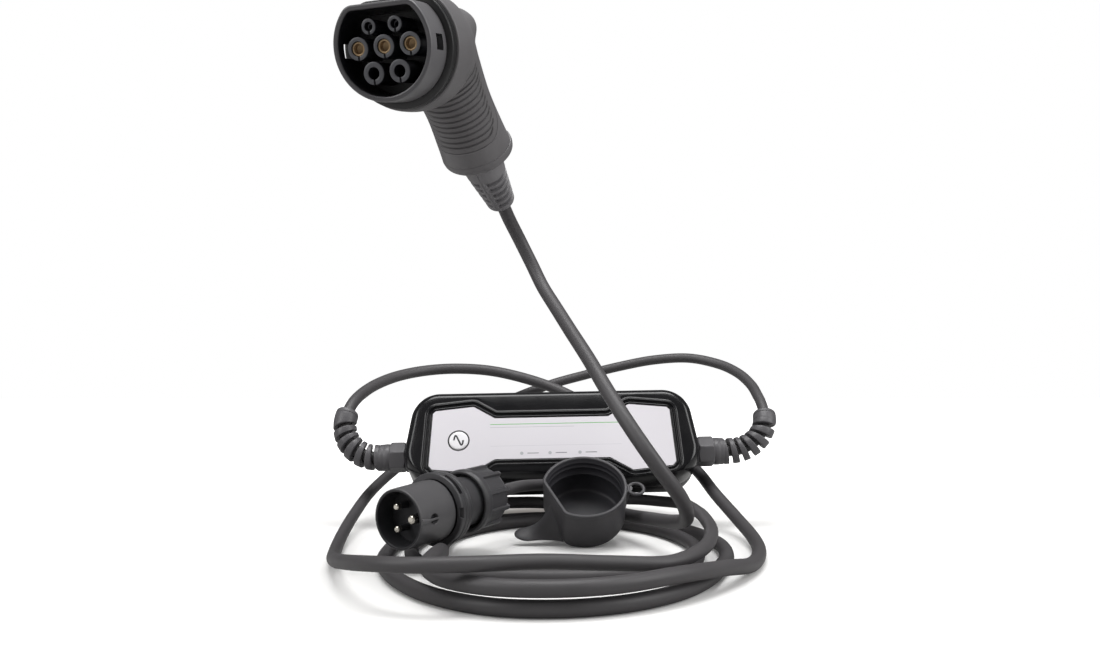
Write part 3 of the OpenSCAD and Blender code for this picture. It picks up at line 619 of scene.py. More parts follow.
def glandNut(width):
    # six-sided part with turned-off corners, then a stepped dome, a bore and the seat inside
    hexRows = [(7.45, 12.4), (7.7, 12.9), (8.3, 13.6), (8.9, 14), (19.6, 14), (20.3, 13.4), (21.0, 12.6),
               (21.3, 12.2)]
    mouth, bore = width / 2 + 0.7, width / 2 + 0.4
    dome = [(21.5, 11.9), (21.8, 12.05), (22.6, 12.3), (26.0, 12.3), (26.25, 12.15), (26.6, 12.1),
            (28.6, 12.05), (30.0, 11.9), (30.9, 11.5), (31.35, 10.9), (31.5, 10.2), (31.5, mouth),
            (31.2, bore), (23, bore), (23, 7), (14, 7), (14, 8.6), (7.45, 8.6)]
    q = circle(96)
    y, r = np.array(hexRows + dome).T[..., None]
    sixSided = np.arange(len(y))[:, None] < len(hexRows)
    radius = np.where(sixSided, np.minimum(hexRadius(q, guard["acrossFlats"]), r), r)
    return shaped(radius, y, q)


def makeGuard(name, node, side, route, width):
    # the nut is drawn in the box's axes, the rest in the cable's
    origin, axes = places["box"]
    nut = moved(alongX(glandNut(width), side), side * guard["seat"], guard["y"], guard["z"])
    nut = nut @ axes.T + origin - places["cords"][0]
    makePiece(name, "cords", [looped(nut), looped(guardCollar(route, width)), capped(guardHelix(route))],
              ["guard"], [node])


makeGuard("spiralGuardLeft", "spiral_nut_left", -1, cables["connector"], cables["connectorWidth"])
makeGuard("spiralGuardRight", "spiral_nut_right", 1, cables["plug"], cables["plugWidth"])
print("bend guards wound")

# control box
case = {"width": 265, "height": 84, "depth": 60, "radius": 27, "slope": 4.5, "wall": 3.2, "seam": 36,
        "window": [(0, 17), (51, 17), (71, 5), (106, 8.6), (109, 12), (106.6, 61), (104, 63.5), (70, 67),
                   (51, 55.6)],
        "windowSoft": [0, 10, 6, 4, 4, 3.5, 3.5, 6, 10],
        "anchors": [(0, 0), (51, 0), (80, 0), (107, 0), (132, 22), (129, 60), (103, 84), (76, 84), (51, 84)],
        "bosses": [(-108, 14), (-108, 62), (108, 14), (108, 62), (0, 9), (0, 71)],
        "columns": 760, "evened": 12,
        # widths of the edges where there is room, and their shares of a narrower gap
        "bezel": 5.75, "roll": 7.4, "bead": 3.65, "bezelShare": 0.8, "rollShare": 0.62, "beadShare": 0.33}


def caseOutline():
    # outline and outward normals of the box, dense, from the middle of its bottom edge, anticlockwise
    w, h, r, slope = (case[k] for k in ("width", "height", "radius", "slope"))
    tilt = np.degrees(np.arctan2(slope, h - 2 * r))
    corners = [((w / 2 - r, r), -90, tilt), ((w / 2 - r - slope, h - r), tilt, 90),
               ((r + slope - w / 2, h - r), 90, 180 - tilt), ((r - w / 2, r), 180 - tilt, 270)]
    pts, nor = [np.array([[0, 0]])], [np.array([[0, -1]])]
    for c, a, b in corners:
        q = np.radians(np.linspace(a, b, 60))
        n = np.stack([np.cos(q), np.sin(q)], -1)
        pts.append(np.array(c) + r * n)
        nor.append(n)
    return np.vstack(pts + [pts[0]]), np.vstack(nor + [nor[0]])


def mirrored(points):
    # a half outline from the middle of its bottom edge, then the same on the left
    return [tuple(p) for p in points] + [(-x, z) for x, z in points[:0:-1]]


def alongLoop(loop):
    # distance along a closed line, with its first point again at the end
    p = np.vstack([loop, loop[:1]])
    return p, np.concatenate([[0], np.cumsum(np.linalg.norm(np.diff(p, axis=0), axis=1))])


def nearestOn(dense, marks):
    # places, along a dense line, of the points nearest to the marks
    p, along = dense
    q = np.linspace(0, along[-1], 6000, endpoint=False)
    fine = np.stack([np.interp(q, along, p[:, k]) for k in (0, 1)], -1)
    return [0.0] + [q[np.argmin(np.linalg.norm(fine - m, axis=1))] for m in marks[1:]] + [along[-1]]


def matchOutlines():
    # case and window outlines walked together between matching corners, at even steps of both lengths
    outer, normals = caseOutline()
    radii = case["windowSoft"] + case["windowSoft"][:0:-1]
    edge, hole = alongLoop(outer[:-1]), alongLoop(softCorners(mirrored(case["window"]), radii, 8, True))
    edgeMarks = nearestOn(edge, mirrored(case["anchors"]))
    holeMarks = nearestOn(hole, mirrored(case["window"]))
    total = np.array(edgeMarks) + np.array(holeMarks)
    steps = np.linspace(0, total[-1], case["columns"], endpoint=False)

    def walk(line, along, marks):
        at = np.interp(steps, total, marks)
        return np.stack([np.interp(at, along, line[:, k]) for k in (0, 1)], -1)

    point, inner = walk(*edge, edgeMarks), walk(*hole, holeMarks)
    normal = walk(np.vstack([normals[:-1], normals[:1]]), edge[1], edgeMarks)
    d = np.roll(inner, -2, 0) - np.roll(inner, 2, 0)
    d /= np.linalg.norm(d, axis=1, keepdims=True)
    normal /= np.linalg.norm(normal, axis=1, keepdims=True)
    return point, normal, inner, np.stack([d[:, 1], -d[:, 0]], -1)


casePoint, caseNormal, windowLine, windowOut = matchOutlines()


def roomBetween():
    # how far the bezel and the rolled edge may reach where the window comes close to the case's edge
    gap = np.linalg.norm(casePoint - windowLine, axis=1)
    bezel = np.minimum(case["bezel"], case["bezelShare"] * gap)
    roll = np.minimum(1, (gap - bezel) * case["rollShare"] / case["roll"])
    n = case["evened"]
    even = np.ones(2 * n + 1) / (2 * n + 1)
    return [np.convolve(np.concatenate([v[-n:], v, v[:n]]), even, "valid") for v in (bezel, roll, gap)]


bezelReach, rollReach, edgeGap = roomBetween()


def caseRow(inset, y, squeeze=False):
    # offset inwards from the case's outline along its normals, squeezed where the window comes close
    return upright(casePoint - caseNormal * (inset * (rollReach[:, None] if squeeze else 1)), y)


def windowRow(grow, y):
    # offset from the window's outline, squeezed where there is little room
    b = case["bezel"]
    inside = min(grow, b) * bezelReach / b
    outside = max(grow - b, 0) * np.minimum(1, (edgeGap - bezelReach) * case["beadShare"] / case["bead"])
    return upright(windowLine + windowOut * (inside + outside)[:, None], y)


def makeFrontCover():
    # rows of matched outlines: seam, rolled edge, flat band, bead, groove, lip, seat, then the inner wall
    wall, seam = case["wall"], case["seam"]
    outer = [(0.5, seam), (0.1, seam - 0.3), (0, seam - 0.8), (0, 28), (0, 20), (0, 15), (0.1, 12),
             (0.4, 9.4), (0.9, 7.2), (1.6, 5.2), (2.5, 3.5), (3.6, 2.1), (4.8, 1.05), (6.1, 0.35), (7.4, 0)]
    inner = [(9.4, 0), (7.8, 0), (6.9, -0.05), (6.2, -0.3), (5.75, -0.75), (5.4, -1.08), (5.0, -1.18),
             (4.7, -1.05), (4.45, -0.7), (4.3, 0.0), (4.2, 0.7), (3.95, 1.0), (3.3, 1.08), (2.7, 1.0),
             (2.45, 0.7), (2.3, 0.15), (2.05, -0.05), (1.6, -0.08), (1.1, -0.02), (0.65, 0.12), (0.4, 0.4),
             (0.3, 0.9), (0.3, 1.55)]
    rows = [caseRow(wall, seam)] + [caseRow(*r, True) for r in outer] + [windowRow(*r) for r in inner]
    inside = [caseRow(wall, seam), caseRow(wall, 5), caseRow(wall + 1, 4)]
    makePiece("frontShell", "box", [part(rows, capEnd=True), part(inside, capEnd=True)],
              ["boxFront"], ["front_cover"], sharp=50)


def ringAt(x, z, radius, y):
    # circle about a point of the box's face, at one depth
    q = circle(32)
    return upright(np.stack([x + radius * np.cos(q), z + radius * np.sin(q)], -1), y)


def fillFlat(piece, loops):
    # flat face of the box between an outline and the holes in it
    bm = bmesh.new()
    bm.from_mesh(piece.data)
    edges = []
    for loop in loops:
        vs = [bm.verts.new(p) for p in toWorld(loop, "box")]
        edges += [bm.edges.new((vs[i - 1], vs[i])) for i in range(len(vs))]
    made = bmesh.ops.triangle_fill(bm, use_beauty=True, use_dissolve=False, edges=edges)
    for f in made["geom"]:
        if isinstance(f, bmesh.types.BMFace):
            f.smooth = True
    bmesh.ops.remove_doubles(bm, verts=bm.verts, dist=meshing["weld"])
    bmesh.ops.recalc_face_normals(bm, faces=bm.faces)
    bm.to_mesh(piece.data)
    bm.free()
    piece.data.set_sharp_from_angle(angle=np.radians(meshing["sharp"]))


def makeBackCover():
    # rolled edge, then a flat back with six deep screw holes, and the inner wall
    d, wall, seam = case["depth"], case["wall"], case["seam"]
    outer = [(wall, seam), (0.5, seam), (0.1, seam + 0.3), (0, seam + 0.8), (0, 44), (0, 52), (0.2, 54),
             (0.8, 55.8), (1.7, 57.3), (2.9, 58.5), (4.3, 59.4), (5.8, 59.9), (7.4, d)]
    hole = [(3.7, d), (3.4, d - 0.3), (3.4, d - 4), (1.75, d - 4), (1.75, d - 3)]
    rows = [caseRow(*r) for r in outer]
    holes = [[ringAt(x, z, r, y) for r, y in hole] for x, z in case["bosses"]]
    inside = [caseRow(wall, seam), caseRow(wall, 56), caseRow(4.5, 57)]
    parts = [part(rows), part(inside, capEnd=True)] + [part(h, capEnd=True) for h in holes]
    piece = makePiece("backShell", "box", parts, ["boxBack"], ["back_cover"], sharp=50)
    fillFlat(piece, [rows[-1]] + [h[0] for h in holes])


button = {"at": (-83, 35), "radius": 8.6, "wave": (4.1, 4.4), "stroke": 0.75, "face": -0.72}


def strokeAlong(path, radius):
    # round stroke along a flat line in the x, z plane, flattened towards the face
    t = np.gradient(path, axis=0)
    t /= np.linalg.norm(t, axis=1, keepdims=True)
    side = np.stack([t[:, 2], np.zeros(len(t)), -t[:, 0]], -1)
    up = np.array([0, -1.0, 0])
    q = circle(10)[None, :, None]
    return path[:, None] + radius * (side[:, None] * np.cos(q) + 0.4 * up * np.sin(q))


def makeButton():
    # turned cap with a soft edge, a flange behind the cover, a stem and a wave mark
    r, face = button["radius"], button["face"]
    line = [(0, face), (5.6, -0.7), (7.2, -0.62), (8.0, -0.35), (8.45, 0.05), (r, 0.6), (r, 4.2), (10.2, 4.2),
            (10.2, 5.4), (2, 5.4), (2, 8.8), (0, 8.8)]
    x, z = button["at"]
    wide, tall = button["wave"]
    t = np.linspace(-1, 1, 41)
    wave = np.stack([wide * t + 0.7 * np.sin(np.pi * t), 0 * t + face, -tall * np.sin(np.pi * t)], -1)
    mark = strokeAlong(wave, button["stroke"])
    makePiece("modeButton", "box", [part(moved(revolved(line, 72), x, 0, z)),
                                    capped(moved(mark, x, 0, z), 1)],
              ["button", "mark"], ["mode_button"], body="button")


makeFrontCover()
makeBackCover()
makeButton()
print("control box done")

# vehicle connector
sleeve = {"radius": 32, "flat": 24.5, "corner": 9, "wall": 3.3, "step": 3.6, "floor": 27, "back": 46,
          "window": (8, 17.5, 4.6), "seal": 22.5}


def flatTop(radius, flat, corner, extra=()):
    # circle cut flat on top with rounded corners: points and outward normals, anticlockwise
    cx = np.sqrt((radius - corner) ** 2 - (flat - corner) ** 2)
    tangent = np.degrees(np.arctan2(flat - corner, cx))
    big = np.unique(np.concatenate([np.linspace(180 - tangent, 360 + tangent, 121), np.array(extra, float)]))
    spans = [((cx, flat - corner), corner, np.linspace(tangent, 90, 15)[1:]),
             ((-cx, flat - corner), corner, np.linspace(90, 180 - tangent, 15)[:-1]), ((0, 0), radius, big)]
    pts, nor = [], []
    for c, r, q in spans:
        n = np.stack([np.cos(np.radians(q)), np.sin(np.radians(q))], -1)
        pts.append(np.array(c) + r * n)
        nor.append(n)
        if c[0] > 0:  # the flat between the two corners
            pts.append(np.stack([np.linspace(cx, -cx, 12)[1:-1], np.full(10, float(flat))], -1))
            nor.append(np.tile([0, 1.0], (10, 1)))
    return np.vstack(pts), np.vstack(nor)


def outlineRows(outline, rows):
    # rows of (offset, distance) carried round an outline, along local Y
    pts, nor = outline
    return np.array([upright(pts + nor * offset, y) for offset, y in rows])


def makeSleeve():
    # outer wall, rolled rim, inner wall and shoulder, with a catch window through each side
    w0, w1, half = sleeve["window"]
    edge = np.degrees(np.arcsin(half / sleeve["radius"]))
    marks = [180 - edge, 180, 180 + edge, 360 - edge, 360, 360 + edge]
    line = flatTop(sleeve["radius"], sleeve["flat"], sleeve["corner"], marks)
    t, step, floor, back = (sleeve[k] for k in ("wall", "step", "floor", "back"))
    outer = [(0, back), (0, 34), (0, 24), (0, w1), (0, w0), (0, 4), (-0.04, 1.6), (-0.2, 0.75), (-0.5, 0.25)]
    rim = [(-0.5, 0.25), (-0.95, 0.02), (-1.5, 0), (-2.3, 0), (-2.8, 0.15), (-3.1, 0.5), (-t, 1.1)]
    inner = [(-t, 1.1), (-t, w0), (-t, w1), (-t, floor), (-step, floor), (-step, back)]
    outerAt, innerAt = outer.index((0, w1)), inner.index((-t, w0))  # the windows' first rows
    outer, rim, inner = (outlineRows(line, rows) for rows in (outer, rim, inner))
    angle = np.degrees(np.arctan2(line[0][:, 1], line[0][:, 0]))
    walls, spans = [], []
    for centre in (0, 180):  # the catch window's own four walls
        cols = np.where(np.abs(turnBetween(angle, centre)) < edge + 0.01)[0]
        c0, c1 = cols.min(), cols.max()
        spans.append((c0, c1))
        far = np.vstack([outer[outerAt, c0:c1 + 1], outer[outerAt + 1, c0:c1 + 1][::-1]])
        near = np.vstack([inner[innerAt + 1, c0:c1 + 1], inner[innerAt, c0:c1 + 1][::-1]])
        walls.append(part([far, near], 1))
    outside = part(outer, skip=[(outerAt, outerAt + 1, *s) for s in spans])
    # the inside, its back end and the window walls wear finish 1, a near black painted shade
    inside = part(inner, 1, skip=[(innerAt, innerAt + 1, *s) for s in spans])
    ends = part([inner[-1], outer[0]], 1)
    # the rim wears a darker copy of the sleeve's plastic, a painted shade
    makePiece("connectorSleeve", "connector", [outside, part(rim, 2), inside, ends] + walls,
              ["sleeveShell", "contactFaceInPaintedShade", "sleeveRimPaintedShade"], ["connector_sleeve"])
    ring = [(0.02, 0), (3.5, 0), (4.0, 0.35), (4.2, 1.0), (4.2, 2.5), (3.7, 2.9), (3.7, 3.5), (4.2, 3.9),
            (4.2, 6), (4.0, 6.65), (3.5, 7), (0.02, 7)]
    ring = [(offset, y + sleeve["seal"]) for offset, y in ring]
    makePiece("connectorSeal", "connector", [looped(outlineRows(line, ring))],
              ["sealRubber"], ["sleeve_seal"])


contacts = {"front": 3, "floor": 27, "metalBack": 39, "slot": 0.62, "slotDepth": 3.2,
            "power": [(0, 0), (-17, 0), (17, 0)], "spare": [(-8.5, -14.7), (8.5, -14.7)],
            "control": [(-8.5, 11.8), (8.5, 11.8)],
            # outer and bore radius of the collars of each kind
            "collars": {"power": (6.7, 4.3), "spare": (6.7, 3.6), "control": (4.55, 2.6)}}


def contactCollar(x, z, radius, bore):
    # tube with softened front edges and one slot at its lowest point, the same width at every radius
    front, back = contacts["front"], contacts["floor"] + 0.5
    line = np.array([(radius, back), (radius, front + 0.5), (radius - 0.15, front + 0.15),
                     (radius - 0.5, front), (bore + 0.45, front), (bore + 0.12, front + 0.15),
                     (bore, front + 0.5), (bore, back)])
    r, y = line[:, :1], line[:, 1:]
    half = np.degrees(contacts["slot"] / r)
    near = np.concatenate([-half - 0.3, -half, 0 * half, half, half + 0.3], 1)
    rest = np.linspace(18, 342, 55)
    q = np.radians(270 + np.concatenate([near, rest + 0 * r], 1))
    inSlot = np.concatenate([[0, 1, 1, 1, 0], 0 * rest])[None] > 0
    y = np.where(inSlot & (y < 8), np.maximum(y, front + contacts["slotDepth"]), y)
    return np.stack([x + r * np.cos(q), y, z + r * np.sin(q)], -1)


def contactTube(r, bore, front):
    # profile of a metal contact: a softened mouth and a short bore
    return [(r, contacts["metalBack"]), (r, front + 0.5), (r - 0.25, front + 0.1), (r - 0.5, front),
            (bore + 0.35, front), (bore + 0.1, front + 0.12), (bore, front + 0.4), (bore, front + 4),
            (bore - 0.5, front + 4.4), (0, front + 4.4)]


def makeContacts():
    # block with the seven collars, then the metal contacts of the power and control ways
    step, floor = sleeve["step"], contacts["floor"]
    face = flatTop(sleeve["radius"] - step, sleeve["flat"] - step, sleeve["corner"] - step)
    parts = [capped(outlineRows(face, [(0, 32), (0, floor + 0.4), (-0.4, floor), (-3, floor)]))]
    for kind, (radius, bore) in contacts["collars"].items():
        for x, z in contacts[kind]:
            grid = contactCollar(x, z, radius, bore)
            # a collar's front rows take finish 1, a lighter copy of the block's plastic, a painted highlight;
            # its sides and the block stay in a near black painted shade
            parts += [part(grid[[-1, 0, 1]]), part(grid[1:7], 1), part(grid[6:])]
    makePiece("contactFaceInPaintedShade", "connector", parts, ["contactFaceInPaintedShade", "contactCollar"], ["contact_block"])
    for name, node, look, kind, tube, sides in (
            ("powerContacts", "power_contacts", "brass", "power", contactTube(4.28, 3, 4), 48),
            ("controlContacts", "control_contacts", "darkSteel", "control", contactTube(2.58, 1.5, 7), 36)):
        tube = revolved(tube, sides)
        makePiece(name, "connector", [part(moved(tube, x, 0, z), capStart=True) for x, z in contacts[kind]],
                  [look], [node])


handle = {  # rings: distance back, height, tilt, half width, half depth, height of the flat top
    "rings": [(29.5, 0, 0, 37.6, 37.6, 29), (41, 0, 0, 38, 38, 29.4), (51, 0, 2, 37.8, 37.4, 29.2),
              (60, -0.5, 8, 35.6, 35.5, 28), (70, -2, 20, 31.8, 32.5, 27.8), (81, -5, 34, 28.2, 30, 27.8),
              (92, -12, 46, 25.4, 27, 27), (111, -33, 50, 23.8, 24.8, 24.8), (129, -54, 54, 25.2, 25.4, 25.4),
              (143.5, -70.5, 58, 27, 27, 27)],
    "gripRings": [5, 6, 7, 8, 9], "gripAlong": [0.4, 13.4, 41.7, 69.4, 91.4], "end": 83, "mouth": 5.55,
    "insert": (2, 68), "side": 7, "round": 26, "recess": 1.5, "lip": 0.15, "lipAngles": (0.35, 1.3),
    "lid": 1.1, "grooves": 12, "firstGroove": 8.5, "pitch": 4.85, "grooveHalf": 0.95, "grooveDepth": 1.7,
    "softEdge": (1.1, 0.9, 2.0), "grooveStop": (13, 84), "hook": (17, 3.6), "beak": 7.5,
    "beakSteps": (3.4, 4.72, 4.8, 5.0), "screws": (20, 76)}


def handleSurface(k, q, inset):
    # ring k, angle q from the right side upwards: an ellipse with a flattened top, tilted along the handle
    y, z, tilt, wide, deep, top = np.moveaxis(routeAt(handle["rings"], k), -1, 0)
    b0, b1, b2, b3 = handle["beakSteps"]
    beak = handle["beak"] * smooth(b0, b1, k) * (1 - smooth(b2, b3, k)) * smooth(0.3, 0.75, np.sin(q))
    grow = beak - inset
    u = (wide + grow * 0.9) * np.cos(q)
    v, lid, soft = (deep + grow) * np.sin(q), top + grow, handle["lid"]
    v = -soft * np.logaddexp(-v / soft, -lid / soft)  # the smaller of the two heights, with a soft change
    tilt = np.radians(tilt)
    return np.stack([u, y + v * np.sin(tilt), z + v * np.cos(tilt)], -1)


def ringOf(s):
    # ring number at a distance along the grip
    return np.interp(s, handle["gripAlong"], handle["gripRings"])


def insertHalf(s):
    # half angle of the grip insert, from the front, at s along the grip
    s0, s1 = handle["insert"]
    s = np.clip(s, s0, s1)
    r = handle["round"]
    over = np.clip(s - (s1 - r), 0, r)
    height = handle["side"] - r + np.sqrt(r * r - over * over)
    deep = routeAt(handle["rings"], ringOf(s))[..., 4]
    return np.pi / 2 + np.arcsin(np.clip(height / deep, -0.93, 0.95))


def makeHandle():
    # housing: the whole form, sunk where the grip insert sits, with a fine lip round it
    s0, s1 = handle["insert"]
    lip, recess = handle["lip"], handle["recess"]
    head = np.concatenate([np.linspace(0, 3, 16), np.linspace(3.1, 4.65, 17), np.linspace(4.7, 5.02, 11)])
    grip = np.concatenate([[s0 - 0.5, s0 - lip, s0], np.linspace(s0 + 0.8, s1 - 1, 62),
                           np.linspace(s1 - 0.6, s1, 3), [s1 + lip, s1 + 0.5],
                           np.linspace(s1 + 2, handle["end"] - 0.6, 9)])
    k = np.concatenate([head, ringOf(grip)])[:, None]
    s = np.concatenate([np.full(len(head), s0), grip])
    onLip = np.minimum(np.abs(grip - s0 + lip), np.abs(grip - s1 - lip)) < 0.01
    sunk, onLip = (np.concatenate([0 * head, v])[:, None] for v in ((grip >= s0) & (grip <= s1), onLip))
    half = insertHalf(s)[:, None]
    edge = np.radians([handle["lipAngles"]])
    qFront = np.linspace(-1, 1, 41)[None] * half
    qBack = half + edge[:, -1:] + np.linspace(0, 1, 71)[None, 1:-1] * 2 * (np.pi - half - edge[:, -1:])
    q = np.concatenate([qFront, half + edge, qBack, 2 * np.pi - half - edge[:, ::-1]], 1) - np.pi / 2
    inset = np.concatenate([recess * sunk + lip * onLip + 0 * qFront, np.array([lip, 0]) * sunk, 0 * qBack,
                            np.array([0, lip]) * sunk], 1)

    def ringRow(ring, row, inward, along=0.0):
        # one more row at an end, pulled in and moved along Y
        q1 = q[row][None]
        return handleSurface(np.full((1, 1), float(ring)), q1, inward + 0 * q1) + np.array([0, along, 0])

    body = handleSurface(k, q, inset)
    body[0] += np.array([0, 1.2, 0])
    mouth = handle["mouth"]
    lead = ((mouth, 13), (mouth, 0.4), (1.2, 0), (0.5, 0.12), (0.12, 0.5))
    front = [ringRow(0, 0, i, dy) for i, dy in lead]
    end = [ringRow(ringOf(handle["end"]), -1, i) for i in (0.35, 0.9, 14)]
    makePiece("handleShell", "connector", [capped(np.concatenate(front + [body] + end))], ["handleShell"],
              ["handle_housing"], sharp=38)


def makeGripInsert():
    # soft insert over the front of the grip, with arc grooves that hook up at both ends: a groove's depth is
    # the root of 1 - d squared, where d is the distance from its middle line over its half width
    s0, s1 = handle["insert"]
    s = np.linspace(s0 + 0.35, s1 - 0.35, 360)[:, None]
    half = insertHalf(s) - np.radians(1.5)
    q = np.linspace(-1, 1, 151)[None] * half
    a, reach = np.degrees(np.abs(q)), np.degrees(half)
    drop, alongEdge, roundEdge = handle["softEdge"]
    edge = np.minimum(np.minimum(s - s0, s1 - s) / alongEdge, (reach - a) / roundEdge)
    inset = drop * (1 - np.clip(edge, 0, 1)) ** 2.5
    margin, farthest = handle["grooveStop"]
    stop = np.minimum(reach - margin, farthest)
    hookFrom, hookHigh = handle["hook"]
    for i in range(handle["grooves"]):
        at = handle["firstGroove"] + handle["pitch"] * i
        stopHere = float(np.interp(at, s[:, 0], stop[:, 0]))
        curve = at - hookHigh * np.clip((a - stopHere + hookFrom) / hookFrom, 0, 1) ** 2
        near = np.clip(1 - ((s - curve) / handle["grooveHalf"]) ** 2, 0, 1)
        ends = np.clip((stopHere - a) / 1.5, 0, 1)
        inset = np.maximum(inset, handle["grooveDepth"] * np.sqrt(near) * ends)
    top = handleSurface(ringOf(s), q - np.pi / 2, inset)
    under = np.linspace(1, -1, 24)[None] * half - np.pi / 2
    low = handleSurface(ringOf(s), under, handle["recess"] - 0.02 + 0 * under)
    makePiece("gripInsert", "connector", [capped(np.concatenate([top, low], 1))],
              ["gripRubber"], ["grip_insert"], sharp=60)


boot = {"from": (139.3, -63.8, 56), "to": (183.2, -108.2, 45), "slots": 5, "firstSlot": 25.5, "pitch": 7.0,
        "width": 4.0, "spine": 11, "hollow": 2.6, "sheath": 8.6, "wide": 16.2, "narrow": 11.4, "seam": 0.25}


def bentAxis(points):
    # a straight shape about Y laid on the curve from the grip's end to the cable's start
    (y0, z0, a0), (y1, z1, a1) = boot["from"], boot["to"]
    long = np.hypot(y1 - y0, z1 - z0)
    t = points[..., 1] / long
    w = np.clip(t, 0, 1)
    a0, a1 = np.radians(a0), np.radians(a1)
    h = [2 * w**3 - 3 * w**2 + 1, w**3 - 2 * w**2 + w, -2 * w**3 + 3 * w**2, w**3 - w**2]
    beyond = (t - w) * long
    angle = a0 + (a1 - a0) * w
    y = h[0] * y0 + h[1] * long * np.cos(a0) + h[2] * y1 + h[3] * long * np.cos(a1) + beyond * np.cos(angle)
    z = h[0] * z0 - h[1] * long * np.sin(a0) + h[2] * z1 - h[3] * long * np.sin(a1) - beyond * np.sin(angle)
    up = points[..., 2]
    return np.stack([points[..., 0], y + up * np.sin(angle), z + up * np.cos(angle)], -1)


def makeBoot():
    # tapered sleeve with slots on both flanks; a spine is left along the front and the back
    (y0, z0, _), (y1, z1, _) = boot["from"], boot["to"]
    long, wide, narrow = np.hypot(y1 - y0, z1 - z0), boot["wide"], boot["narrow"]
    outline = softCorners([(11.9, -4), (11.9, 8.6), (wide, 8.7), (wide, 14), (narrow, long - 1.6),
                           (10.6, long), (0, long)], [0, 0, 0.8, 2, 2, 1.0, 0], 5)
    slots = []
    for i in range(boot["slots"]):
        a = boot["firstSlot"] + boot["pitch"] * i
        b = a + boot["width"]
        slots += [(a - 0.3, 0), (a, 0.2), (a + 0.12, 1), (b - 0.12, 1), (b, 0.2), (b + 0.3, 0)]
    ys, deep = np.array(slots).T

    def taper(y):
        return np.interp(y, [14, long - 1.6], [wide, narrow])

    run = np.linspace(16, ys[0] - 1, 9)
    before = np.vstack([outline[outline[:, 1] < ys[0] - 0.4], np.stack([taper(run), run], -1)])
    after = outline[outline[:, 1] > ys[-1] + 0.4]
    e = boot["spine"]
    q = np.concatenate([np.linspace(e - 90, 90 - e, 41), np.linspace(90 - e + 0.8, 90 - 1.2, 5),
                        [90 - 0.9, 90 + 0.9], np.linspace(91.2, 90 + e - 0.8, 5)])
    q = np.radians(np.concatenate([q, q + 180]))
    flank = np.abs(np.cos(q)) > np.sin(np.radians(e - 0.4))
    seam = boot["seam"] * (np.abs(np.cos(q)) < np.sin(np.radians(1.0)))

    def plain(rows):
        # rows without slots: the mould's seam runs along them, except at the closed end
        return np.maximum(rows[:, :1] - seam * (rows[:, :1] > 1), 0)

    middle = taper(ys)[:, None] - deep[:, None] * flank * boot["hollow"] - seam
    radius = np.concatenate([plain(before), middle, plain(after)])
    y = np.concatenate([before[:, 1:], ys[:, None], after[:, 1:]])
    # the boot ends short of the cable's start, so a length of sheath joins them
    w = cables["connectorWidth"] / 2
    sheath = revolved([(w, long - 2), (w, long + boot["sheath"])], cables["sides"])
    makePiece("connectorBoot", "connector", [part(bentAxis(shaped(radius, y, q)), capStart=True),
                                             capped(bentAxis(sheath), 1)],
              ["bootRubber", "cable"], ["connector_boot"], sharp=35)
    ring = softCorners([(12, -0.2), (26.75, -0.2), (27.1, 2.5), (26.6, 5.6), (23.6, 8.4), (12, 8.4)],
                       [0, 0.5, 3, 3, 2.6, 0.3], 5, True)
    makePiece("gripEndRing", "connector", [looped(bentAxis(revolved(ring, 96)))], ["handleShell"],
              ["grip_end_ring"])


def makeHandleScrews():
    # two socket screws sunk level with the back of the grip
    q = circle(36)
    parts = []
    for s in handle["screws"]:
        y, z, tilt, _, _, top = routeAt(handle["rings"], ringOf(np.array(s, float)))
        rows = [(3.3, -1.5), (3.3, 0.25), (3.1, 0.45), (1.75, 0.45), (1.75, -1.0)]
        c, d = np.cos(np.radians(tilt)), np.sin(np.radians(tilt))
        parts.append(capped([np.stack([r * np.cos(q), y + r * np.sin(q) * c + (top - 1.2 + h) * d,
                                       z - r * np.sin(q) * d + (top - 1.2 + h) * c], -1) for r, h in rows]))
    makePiece("gripScrews", "connector", parts, ["darkSteel"], ["handle_screws"])


makeSleeve()
makeContacts()
makeHandle()
makeGripInsert()
makeBoot()
makeHandleScrews()
print("vehicle connector done")

# mains plug
plug = {"radius": 22, "taper": 0.8, "shroud": 36.6, "end": 105, "ribs": 10, "pinCircle": 9.3, "pinBack": 50,
        "slots": (50, 170, 290), "slotHalf": 20, "notchHalf": 7.8, "hollow": (13.6, 4.0, 3.2)}


def roundPin(r):
    # domed bare tip, then a sleeved shank back into the plug's body: two grids that share a row
    back = plug["pinBack"]
    line = softCorners([(0, 3), (r, 3), (r, 6.6), (r, 15.4), (r + 0.5, 15.6), (r + 0.5, back), (0, back)],
                       [0, r * 0.62, 0, 0.1, 0.1, 0.2, 0], 7)
    last = int((line[:, 1] < 6.61).sum())
    grid = revolved(line, 48)
    return grid[:last], grid[last - 1:]


